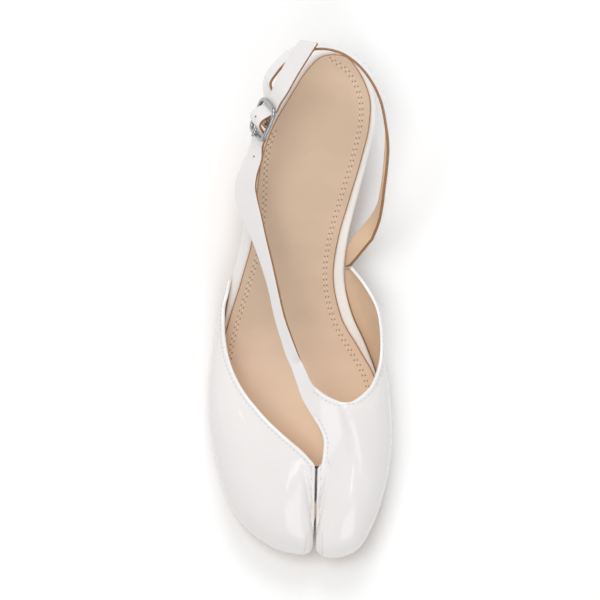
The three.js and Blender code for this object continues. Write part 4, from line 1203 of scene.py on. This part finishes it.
def white_leather(name, colours):
    """Smooth white leather with a folded edge: raised band with a painted highlight, groove at its
    seam and toe seams with painted shade, fine grain.
    """
    finish = Finish(name)
    fold = finish.attribute("fold")
    band = fold.ramp(FOLD["band"] + FOLD["soft"], FOLD["band"] - FOLD["soft"])
    stitched = abs(fold - FOLD["groove_at"]).ramp(FOLD["groove"], 0)
    x, y = (finish.spot(axis) for axis in (0, 1))
    start = TOE_SEAMS["start_y"]
    lateral = (y - start) * TOE_SEAMS["lateral_slope"] + TOE_SEAMS["lateral_x"]
    seams = [abs(x - at).ramp(TOE_SEAMS["width"], 0) for at in (lateral, TOE_SEAMS["medial_x"])]
    seam = (seams[0] + seams[1]) * y.ramp(start, start - TOE_SEAMS["reach"])
    cloud = finish.noise(CLOUD["size"], 3)
    grain = finish.noise(SKIN_GRAIN["fine"], 2) * 0.5 + finish.cells(SKIN_GRAIN["cells"]) * 0.5
    clouded = cloud.ramp(CLOUD["from"], CLOUD["to"])
    body = finish.mix(clouded, tinted(colours.leather, CLOUD["dark"]), colours.leather)
    # Painted highlight: the folded band is mixed towards a lighter copy of the leather, as a turned
    # edge catching the light
    folded = finish.mix(band * PAINTED_SHADE_AND_HIGHLIGHT["fold"], body, colours.folded_edge_highlight)
    shadow = stitched * PAINTED_SHADE_AND_HIGHLIGHT["stitched"] + seam * PAINTED_SHADE_AND_HIGHLIGHT["seam"]
    raised = band * RELIEF["band"] + grain * RELIEF["grain"]
    height = raised - stitched * RELIEF["stitched"] - seam * RELIEF["seam"]
    return finish.dress(
        base_color=finish.mix(shadow, folded, tinted(colours.leather, PAINTED_SHADE_AND_HIGHLIGHT["dark"])),
        roughness=cloud * SHEEN["cloud"]
        + grain * SHEEN["grain"]
        + SHEEN["least"]
        - band * SHEEN["band"],
        normal=finish.bump(height, RELIEF["depth"]),
        **GLAZE,
    )


def plain_leather(name, colour):
    """Unglazed leather with fine pores and a slow change of colour, some with painted light that
    pales it towards the toe.
    """
    look = LEATHERS[name]
    finish = Finish(name)
    pores = finish.cells(look["grain"])
    fine = finish.noise(look["grain"] * PORES["fine"], 3)
    shade = finish.noise(BLOTCH["size"], 4).ramp(BLOTCH["from"], BLOTCH["to"])
    dark, light = 1 - look["blotch"], 1 + look["blotch"] * 0.5
    body = finish.mix(shade, tinted(colour, dark), tinted(colour, light))
    # Painted light: the colour pales towards the toe, standing in for light reaching under the toe
    # lobes
    if "worn" in look:
        worn = finish.spot(1).ramp(PAINTED_TOE_LIGHT["from"], PAINTED_TOE_LIGHT["to"])
        body = finish.mix(worn, body, tinted(colour, 1 + look["worn"]))
    shown = pores.ramp(PORES["reach"], 0.0) * PORES["shown"]
    return finish.dress(
        base_color=finish.mix(shown, body, tinted(colour, PORES["dark"])),
        roughness=look["roughness"] + fine * PORES["rough"] - shade * BLOTCH["smooth"],
        normal=finish.bump(pores * 0.5 + fine * 0.5, look["depth"]),
    )


def mottled(name, colour, kind, **sockets):
    """One colour in soft dark and light spots."""
    size, detail, low, high, dark, light, least, rise, depth = MOTTLING[kind]
    finish = Finish(name)
    spots = finish.noise(size, detail)
    if depth:
        sockets["normal"] = finish.bump(spots, depth)
    return finish.dress(
        base_color=finish.mix(spots.ramp(low, high), tinted(colour, dark), tinted(colour, light)),
        roughness=spots * rise + least,
        **sockets,
    )


def polished_metal(name, colour):
    """Metal with slight wear and fine brushing."""
    finish = Finish(name)
    wear = finish.noise(POLISH["wear"], 3)
    brushed = finish.noise(POLISH["brushing"], 2)
    dark, light = (tinted(colour, POLISH[key]) for key in ("dark", "light"))
    rough = wear * POLISHED["wear"] + brushed * POLISHED["brushing"] + POLISHED["least"]
    return finish.dress(
        base_color=finish.mix(wear.ramp(POLISH["from"], POLISH["to"]), dark, light),
        metallic=1.0,
        roughness=rough,
        normal=finish.bump(brushed, POLISHED["depth"]),
    )


def finish_named(name, make, *values):
    """A finish that several pieces share, made once."""
    return bpy.data.materials.get(FINISH_PREFIX + name) or make(name, *values)


def leather_set(colours):
    """Outer leather, painted edge and lining, in the order of a leather piece's faces."""
    return (
        finish_named("white_leather", white_leather, colours),
        finish_named("painted_cut_edge", mottled, colours.cut_edge, "edge"),
        finish_named("lining_leather", plain_leather, colours.lining),
    )


# Layers that follow the foot bed


def board_offset(edge, run):
    """The board stays clear of the upper's walls in the cleft and round the tip of the toe."""
    free_from, free_to = (CLEFT_LENGTH + BOARD_FREE[key] for key in ("from", "to"))
    return -CLEARANCE * (1 - smoothstep(run, free_from, free_to))


def sock_offset(edge, run):
    """The sock leaves the board's rim bare."""
    rows = BOARD_EDGE.points(f"y {edge.side}_rim")
    rims = Table("y rim", *rows, (HEEL_BACK["y"], HEEL_BACK["rim"]))
    return -rims.at_y("rim", edge.at(run)[:, 1])


def cap_patches(offset):
    """Plan grids that fill a layer at an offset from the board's edge: both toes, then the rest."""
    shares = np.linspace(0, 1, LAYER_STEPS["toe"])
    toes = []
    sides = []
    for edge in EDGES.values():
        outer = edge.run_at_y(CLEFT["rear_y"])
        runs = (
            shares * edge.tip,
            outer + shares * (edge.tip - outer),
            np.linspace(outer, edge.length, LAYER_STEPS["side"]),
        )
        inner_toe, outer_toe, side = (edge.at(run, offset(edge, run)) for run in runs)
        toes.append(ruled(inner_toe, outer_toe, LAYER_STEPS["lanes"]))
        sides.append(side)
    return [*toes, ruled(*sides, LAYER_STEPS["lanes"])]


def side_lines(offset, step, from_run=0.0):
    """Plan lines at an offset from the board's edge: to the heel on the outer side, and back."""
    lines = []
    for edge in EDGES.values():
        run = np.linspace(from_run, edge.length, int((edge.length - from_run) / step))
        lines.append(edge.at(run, offset(edge, run)))
    return lines[0], lines[1][::-1]


def layer(parts, offset, profile):
    """A layer on the foot bed, from rows of inset, height and slot, from its top down."""

    def inset_by(inset):
        return lambda edge, run: offset(edge, run) - inset

    rows = []
    for inset, height, _ in profile:
        lateral, medial = side_lines(inset_by(inset), LAYER_STEPS["edge"])
        plan = np.vstack([lateral, medial[1:]])
        rows.append(np.column_stack([plan, bed_height(plan[:, 1]) + height]))
    for upper, lower, (_, _, slot) in zip(rows, rows[1:], profile[1:]):
        parts.grid(np.array([upper, lower]), slot, flip=True)
    for (inset, height, _), flip in ((profile[0], False), (profile[-1], True)):
        for n, patch in enumerate(cap_patches(inset_by(inset))):
            level = bed_height(patch[..., 1].ravel()).reshape(patch.shape[:2]) + height
            parts.grid(np.dstack([patch, level]), flip=flip != (n == 0))


def board_profile():
    """The board's upper edge is rounded."""
    radius = BOARD_ROUND["radius"]
    rows = []
    for angle in np.linspace(0, math.pi / 2, BOARD_ROUND["rows"]):
        inset = radius * (1 - math.sin(angle))
        rows.append((inset, BOARD_THICKNESS - radius * (1 - math.cos(angle)), 0))
    return [*rows, (0, 0, 0)]


# Outline of the heel


def breast_y(x):
    """Line of the heel breast, hollowed towards the heel."""
    middle = (x - HEEL_FOOT["x"] + BREAST["shift"]) / BREAST["half"]
    return BREAST["y"] + BREAST["hollow"] * (1 - 4 * middle**2)


def heel_ring(share):
    """Outline of the heel from its seat (0) to its lift (1), back first, then breast."""
    seat = []
    for edge in EDGES.values():
        start = edge.run_at_y(BREAST["y"] - BREAST["overlap"])
        run = np.linspace(start, edge.length, HEEL_STEPS["seat"])
        seat.append(edge.at(run, -SEAT_INSET))
    seat = np.vstack([seat[0], seat[1][::-1][1:]])
    scales = (HEEL_FOOT["width_scale"], HEEL_FOOT["length_scale"])
    line = HEEL_MIDDLE + (seat - HEEL_MIDDLE) * (1 + (np.array(scales) - 1) * share)
    line = line[line[:, 1] > breast_y(line[:, 0])]
    ends = line[[0, -1]]
    ends[:, 1] = breast_y(ends[:, 0])
    step = HEEL_STEPS["step"] * (1 - HEEL_STEPS["finer"] * share)
    line = resample(np.vstack([ends[:1], line, ends[1:]]), step)
    back = on_line(line, np.linspace(0, 1, HEEL_STEPS["back"]))
    x = np.linspace(back[-1, 0], back[0, 0], HEEL_STEPS["front"] + 2)[1:-1]
    return np.vstack([back, np.column_stack([x, breast_y(x)])])


# Sizes and colours that a user may change


def colour_property(name, description, default):
    return bpy.props.FloatVectorProperty(
        name=name,
        description=description,
        subtype="COLOR",
        size=4,
        min=0,
        max=1,
        default=(*default, 1.0),
    )


def length_property(name, description, default):
    return bpy.props.FloatProperty(
        name=name, description=description, default=default * MM, min=0, unit="LENGTH", precision=5
    )


class SHOE_PG_colours(bpy.types.PropertyGroup):
    """Colours of the shoe and its stage"""

    leather: colour_property("Leather", "Leather of upper, straps and heel", (0.83, 0.807, 0.795))
    # Painted highlight: a lighter copy of the leather, put on the band along folded edges
    folded_edge_highlight: colour_property("Folded edge", "Leather folded at an edge", (0.89, 0.88, 0.87))
    # Set a little lighter than the leather of the upper: painted light against the shade that the
    # board's rim lies in
    rim: colour_property("Rim", "Leather that wraps the insole board", (0.86, 0.855, 0.835))
    lining: colour_property("Lining", "Lining of upper and heel strap", (0.86, 0.64, 0.445))
    sock: colour_property("Sock", "Sock under the foot", (0.645, 0.482, 0.352))
    cut_edge: colour_property("Cut edge", "Painted edge of the leather", (0.34, 0.17, 0.075))
    sock_edge: colour_property("Sock edge", "Painted edge of the sock", (0.40, 0.20, 0.09))
    thread: colour_property("Thread", "Sewing thread of the upper", (0.70, 0.68, 0.655))
    sock_thread: colour_property("Sock thread", "Thread between its holes", (0.93, 0.83, 0.71))
    # Holes in the sock are drawn as dark rounds: this colour is the painted shade inside them
    pierced: colour_property("Pierced hole", "Small holes in the sock", (0.31, 0.17, 0.085))
    # Holes in the strap are drawn as dark rounds: this colour is the painted shade inside them
    punched: colour_property("Punched hole", "Holes in the front strap", (0.16, 0.13, 0.12))
    sole: colour_property("Sole", "Natural sole leather", (0.58, 0.37, 0.20))
    rubber: colour_property("Heel rubber", "Top piece of the heel", (0.035, 0.03, 0.027))
    metal: colour_property("Metal", "Buckle and prong", (0.45, 0.45, 0.455))
    floor: colour_property("Floor", "Pale studio floor", (0.97, 0.97, 0.97))


class SHOE_PG_sizes(bpy.types.PropertyGroup):
    """Fine sizes of the shoe"""

    stitch_pitch: length_property("Stitch pitch", "From one stitch to the next", 2.3)
    stitch_length: length_property("Stitch length", "Thread that shows of each stitch", 1.15)
    stitch_thickness: length_property("Thread thickness", "Thickness of the thread", 0.36)
    stitch_inset: length_property("Stitch inset", "From a folded edge to its stitches", 1.7)
    hole_pitch: length_property("Hole pitch", "Between holes along a row in the sock", 2.75)
    hole_width: length_property("Hole width", "Width of a hole in the sock", 0.72)
    hole_inset: length_property("Hole inset", "From the sock's edge to its outer holes", 3.6)
    row_gap: length_property("Row gap", "Between the sock's two rows of holes", 1.35)


def shoe_settings(context):
    return context.scene.shoe_colours, context.scene.shoe_sizes


# Pieces


class SHOE_OT_upper(bpy.types.Operator):
    """Hollow upper with its two toe lobes and the front strap, its stitches and punched holes"""

    bl_idname = "shoe.upper"
    bl_label = "Upper"

    def execute(self, context):
        colours, sizes = shoe_settings(context)
        skin = UpperSkin()
        points = skin.smooth()
        normals = vertex_normals(points, skin.faces)
        turned = np.arange(len(points)) < skin.lobes_end
        fold = skin.fold(points)
        mesh = leather_mesh("upper_leather", points, skin.faces, WALL, fold, turned)
        add_object(mesh, leather_set(colours), "upper", slot="white_leather")

        thread = self.thread(skin, points, normals, sizes)
        sewn = finish_named("sewing_thread", mottled, colours.thread, "thread")
        add_object(thread.mesh("upper_stitches"), [sewn], slot="white_leather")

        holes = Parts()
        middle = np.array([row[ACROSS // 2] for row in skin.strap_ids])
        for y in STRAP_HOLES["y"]:
            spot = middle[np.argmin(np.abs(points[middle, 1] - y))]
            dot(holes, points[spot], normals[spot], STRAP_HOLES["width"])
        dark = finish_named("punched_hole", mottled, colours.punched, "hole")
        add_object(holes.mesh("strap_holes"), [dark], slot="white_leather")
        return {"FINISHED"}

    def thread(self, skin, points, normals, sizes):
        """Stitches along the topline, the throat, the opening and both sides of the cleft."""
        tree = BVHTree.FromPolygons([Vector(point) for point in points], skin.faces)
        parts = Parts()
        inset = sizes.stitch_inset / MM
        throat = skin.throat[NECK_ROWS - NECK_SEWN :]
        for ids in (skin.topline, throat, skin.opening[CORNER_ROWS:NECK_SEWN]):
            sew(parts, row_beside(points[ids], tree, normals[ids], inset), tree, sizes)
        rear = CLEFT["rear_y"] - CLEFT_SEWN["rear"]
        front = CLEFT["front_y"] + CLEFT_SEWN["front"]
        y = np.linspace(rear, front, CLEFT_SEWN["points"])
        for side in (-1, 1):
            x = cleft_x(y) + side * (CLEFT["gap"] / 2 + inset)
            above = np.column_stack([x, y, np.full(len(y), CLEFT_SEWN["above"])])
            hits = [tree.ray_cast(Vector(place), Vector(-UP))[0] for place in above]
            line = np.array([hit for hit in hits if hit is not None])
            sew(parts, line, tree, sizes, CLEFT_PITCH)
        return parts


class SHOE_OT_heel_strap(bpy.types.Operator):
    """Heel strap from the waist round the heel to its loop on the buckle"""

    bl_idname = "shoe.heel_strap"
    bl_label = "Heel strap"

    def execute(self, context):
        colours, _ = shoe_settings(context)
        rows, thickness = heel_strap_rows()
        skin = Skin()
        ids = skin.patch(strap_grid(rows, HAND["heel"], thickness), False)
        points = np.array(skin.points)
        depth = np.zeros(len(points))
        for line, value in zip(ids, thickness):
            depth[line] = value
        plain = np.full(len(points), FOLD_REACH)
        turned = np.zeros(len(points), bool)
        mesh = leather_mesh("heel_strap_leather", points, skin.faces, depth, plain, turned)
        add_object(mesh, leather_set(colours), "heel_strap", slot="white_leather")
        return {"FINISHED"}


class SHOE_OT_insole(bpy.types.Operator):
    """Insole board with its white rim, and the beige sock with two rows of pierced holes"""

    bl_idname = "shoe.insole"
    bl_label = "Insole and sock"

    def execute(self, context):
        colours, sizes = shoe_settings(context)
        board = Parts()
        layer(board, board_offset, board_profile())
        rim = finish_named("rim_leather", plain_leather, colours.rim)
        add_object(board.mesh("insole_board_wrap"), [rim], "insole_board", slot="white_leather")

        sock = Parts()
        top = BOARD_THICKNESS + CLEARANCE + SOCK_THICKNESS
        profile = [(inset, top - down, slot) for inset, down, slot in SOCK_EDGE]
        layer(sock, sock_offset, [*profile, (0, BOARD_THICKNESS, 1)])
        finishes = [
            finish_named("sock_leather", plain_leather, colours.sock),
            finish_named("sock_cut_edge", mottled, colours.sock_edge, "edge"),
        ]
        add_object(sock.mesh("sock_leather"), finishes, "sock_lining", slot="sock_leather")

        holes = Parts()
        flecks = Parts()
        for row in range(2):
            self.hole_row(holes, flecks, row, top, sizes)
        dark = finish_named("pierced_hole", mottled, colours.pierced, "hole")
        add_object(holes.mesh("sock_holes"), [dark], slot="sock_leather")
        cream = finish_named("sock_thread", mottled, colours.sock_thread, "thread")
        add_object(flecks.mesh("sock_stitches"), [cream], slot="sock_leather")
        return {"FINISHED"}

    def hole_row(self, holes, flecks, row, top, sizes):
        """One row of holes and stitches by turns; the other row has them the other way round."""
        row_inset = (sizes.hole_inset + row * sizes.row_gap) / MM

        def offset(edge, run):
            y = edge.at(run)[:, 1]
            near = smoothstep(y, HOLE_DRIFT["from"], HOLE_DRIFT["to"]) * (edge.side == "lateral")
            return sock_offset(edge, run) - row_inset + HOLE_DRIFT["reach"] * near

        start = EDGES["lateral"].run_at_y(HOLE_ROW_START)
        line = resample(np.vstack(side_lines(offset, HOLE_ROW_STEP, start)), HOLE_ROW_STEP)
        plan = resample(smoothed(line, HOLE_ROW_ROUNDS), sizes.hole_pitch / MM / 2)
        x, y = plan.T
        slope = (bed_height(y + 1) - bed_height(y - 1)) / 2
        normals = unit(np.column_stack([0 * slope, -slope, np.ones(len(slope))]))
        places = np.column_stack([plan, bed_height(y) + top])
        along = unit(np.gradient(places, axis=0))
        shown = (x > HOLE_BREAK["x"]) | (y < HOLE_BREAK["y"])
        pierced = np.arange(len(places)) % 2 == row
        for place, normal in zip(places[shown & pierced], normals[shown & pierced]):
            dot(holes, place, normal, sizes.hole_width / MM)
        sewn = shown & ~pierced
        stitches(flecks, places[sewn], along[sewn], normals[sewn], sizes)


class SHOE_OT_sole(bpy.types.Operator):
    """Finish of the leather outsole, the leather-covered heel block and its rubber top piece"""

    bl_idname = "shoe.sole"
    bl_label = "Sole and heel"

    def execute(self, context):
        colours, _ = shoe_settings(context)
        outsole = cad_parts["outsole"].data.materials
        outsole.clear()
        outsole.append(finish_named("sole_leather", plain_leather, colours.sole))

        block = Parts()
        bottom = LIFT_THICKNESS + CLEARANCE
        rings = []
        for share in np.arange(HEEL_STEPS["levels"] + 1) / HEEL_STEPS["levels"]:
            ring = heel_ring(share ** (1 / HEEL_FOOT["bow"]))
            level = HEEL_TOP + (bottom - HEEL_TOP) * share
            height = np.minimum(level, bed_height(ring[:, 1]) - CLEARANCE)
            rings.append(np.column_stack([ring, height]))
        block.grid(rings, wrap=True)
        block.cap(rings[-1], flip=True)
        cover = finish_named("heel_cover", plain_leather, colours.leather)
        add_object(block.mesh("heel_cover"), [cover], "heel_block", slot="white_leather")

        lift = Parts()
        ring = heel_ring(1)
        inward = unit(ring - HEEL_MIDDLE)
        levels = []
        for inset, height in LIFT_EDGE:
            levels.append(np.column_stack([ring - inward * inset, np.full(len(ring), height)]))
        lift.grid(levels, wrap=True)
        lift.cap(levels[-1], flip=True)
        lift.cap(levels[0])
        rubber = finish_named("heel_rubber", mottled, colours.rubber, "rubber")
        add_object(lift.mesh("heel_top_piece"), [rubber], "heel_lift", slot="lift_rubber")
        return {"FINISHED"}


class SHOE_OT_buckle(bpy.types.Operator):
    """Buckle ring with its middle bar, and the prong that rests on it"""

    bl_idname = "shoe.buckle"
    bl_label = "Buckle"

    def execute(self, context):
        colours, _ = shoe_settings(context)
        metal = finish_named("polished_nickel", polished_metal, colours.metal)
        half = (RING["width"] - RING["bar"]) / 2
        ring = Parts()
        ring.grid(self.posed(self.ring_grid(half)), wrap=True)
        bar = np.linspace((-half, 0, 0), (half, 0, 0), RING_STEPS["bar"])
        ring.grid(self.posed(tube(bar, BAR_RADIUS, RING_STEPS["bar_sides"])), wrap=True)
        add_object(ring.mesh("buckle_ring"), [metal], "buckle_frame", slot="buckle_metal")

        prong = Parts()
        radius, sides = PRONG["radius"], PRONG_STEPS["sides"]
        angles = turn(PRONG_STEPS["ring"])
        eye = np.column_stack([0 * angles, np.cos(angles), np.sin(angles)]) * PRONG_RING
        prong.grid(self.posed(tube(eye, radius, sides, closed=True)), wrap=True)
        tip = (0, -BAR_REACH - PRONG["tip"], PRONG_REST)
        shank = np.linspace((0, 0, PRONG_RING), tip, PRONG_STEPS["shank"])
        prong.grid(self.posed(tube(shank, radius, sides, ends=radius)), wrap=True)
        add_object(prong.mesh("buckle_prong_pin"), [metal], "buckle_prong", slot="buckle_metal")
        return {"FINISHED"}

    def ring_grid(self, half):
        """The ring with its rounded corners, drawn flat."""
        radius = RING["corner"] - RING["bar"] / 2
        line = []
        for quarter, signs in enumerate(((1, 1), (-1, 1), (-1, -1), (1, -1))):
            angles = np.radians(np.linspace(0, 90, RING_STEPS["corner"]) + 90 * quarter)
            centre = np.array(signs) * (np.array([half, BAR_REACH]) - radius)
            line.append(centre + radius * np.column_stack([np.cos(angles), np.sin(angles)]))
        line = np.vstack(line)
        along = unit(np.roll(line, -1, 0) - np.roll(line, 1, 0))
        away = np.column_stack([along[:, 1], -along[:, 0]])
        angles = turn(RING_STEPS["section"])
        across, deep = (
            np.sign(wave) * np.abs(wave) ** RING_SQUARED * size / 2
            for wave, size in ((np.cos(angles), RING["bar"]), (np.sin(angles), RING["thickness"]))
        )
        plan = line[:, None] + away[:, None] * across[None, :, None]
        depth = np.broadcast_to(deep[None, :, None], (*plan.shape[:2], 1))
        grid = np.concatenate([plan, depth], axis=2)
        return np.vstack([grid, grid[:1]])

    def posed(self, grid):
        """Points drawn with x up across the strap, y along it and z out of its face."""
        up, along, out = grid.reshape(-1, 3).T
        return on_buckle(along, out, up).reshape(grid.shape)


class SHOE_OT_stage(bpy.types.Operator):
    """Pale floor, soft studio light and a camera straight above"""

    bl_idname = "shoe.stage"
    bl_label = "Stage"

    def execute(self, context):
        colours, _ = shoe_settings(context)
        scene = context.scene
        signs = ((-1, -1), (1, -1), (1, 1), (-1, 1))
        corners = [(x * FLOOR_HALF, y * FLOOR_HALF, 0) for x, y in signs]
        mesh = bpy.data.meshes.new("studio_floor")
        mesh.from_pydata(corners, [], [(0, 1, 2, 3)])
        finish = mottled("studio_floor", colours.floor, "floor", specular_ior_level=FLOOR_SHINE)
        mesh.materials.append(finish)
        floor = bpy.data.objects.new("studio_floor", mesh)
        scene.collection.objects.link(floor)

        for k, box in enumerate(SOFTBOXES.named_rows()):
            light = bpy.data.lights.new(f"softbox_{k}", "AREA")
            light.shape = "RECTANGLE"
            light.size = box["width"]
            light.size_y = box["length"]
            light.energy = box["power"]
            lamp = bpy.data.objects.new(light.name, light)
            lamp.location = (box["x"], box["y"], box["z"])
            aim = Vector((box["aim_x"], box["aim_y"], 0)) - lamp.location
            lamp.rotation_euler = aim.to_track_quat("-Z", "Y").to_euler()
            scene.collection.objects.link(lamp)
        scene.world = bpy.data.worlds.new("studio_world")
        scene.world.use_nodes = True
        for socket, value in SKY.items():
            scene.world.node_tree.nodes["Background"].inputs[socket].default_value = value

        lens = bpy.data.cameras.new("camera")
        lens.sensor_width = CAMERA["sensor_mm"]
        lens.lens = CAMERA["sensor_mm"] * CAMERA["height"] / CAMERA["view_width"]
        lens.clip_end = CAMERA["clip_end"]
        camera = bpy.data.objects.new("camera", lens)
        camera.location = (0, 0, CAMERA["height"])
        scene.collection.objects.link(camera)
        scene.camera = camera
        scene.view_settings.view_transform = "Standard"
        return {"FINISHED"}


OPERATORS = (
    SHOE_OT_upper,
    SHOE_OT_heel_strap,
    SHOE_OT_insole,
    SHOE_OT_sole,
    SHOE_OT_buckle,
    SHOE_OT_stage,
)


class SHOE_PT_pieces(bpy.types.Panel):
    """Pieces of the shoe"""

    bl_idname = "SHOE_PT_pieces"
    bl_label = "Split-toe heel"
    bl_space_type = "VIEW_3D"
    bl_region_type = "UI"
    bl_category = "Shoe"

    def draw(self, context):
        for operator in OPERATORS:
            self.layout.operator(operator.bl_idname)
        for group in shoe_settings(context):
            for name in group.__annotations__:
                self.layout.prop(group, name)


CLASSES = (SHOE_PG_colours, SHOE_PG_sizes, *OPERATORS, SHOE_PT_pieces)


def register():
    for cls in CLASSES:
        bpy.utils.register_class(cls)
    bpy.types.Scene.shoe_colours = bpy.props.PointerProperty(type=SHOE_PG_colours)
    bpy.types.Scene.shoe_sizes = bpy.props.PointerProperty(type=SHOE_PG_sizes)


def unregister():
    del bpy.types.Scene.shoe_sizes
    del bpy.types.Scene.shoe_colours
    for cls in reversed(CLASSES):
        bpy.utils.unregister_class(cls)


def main():
    register()
    bpy.ops.shoe.upper()
    bpy.ops.shoe.heel_strap()
    bpy.ops.shoe.insole()
    bpy.ops.shoe.sole()
    bpy.ops.shoe.buckle()
    bpy.ops.shoe.stage()


if __name__ == "__main__":
    main()
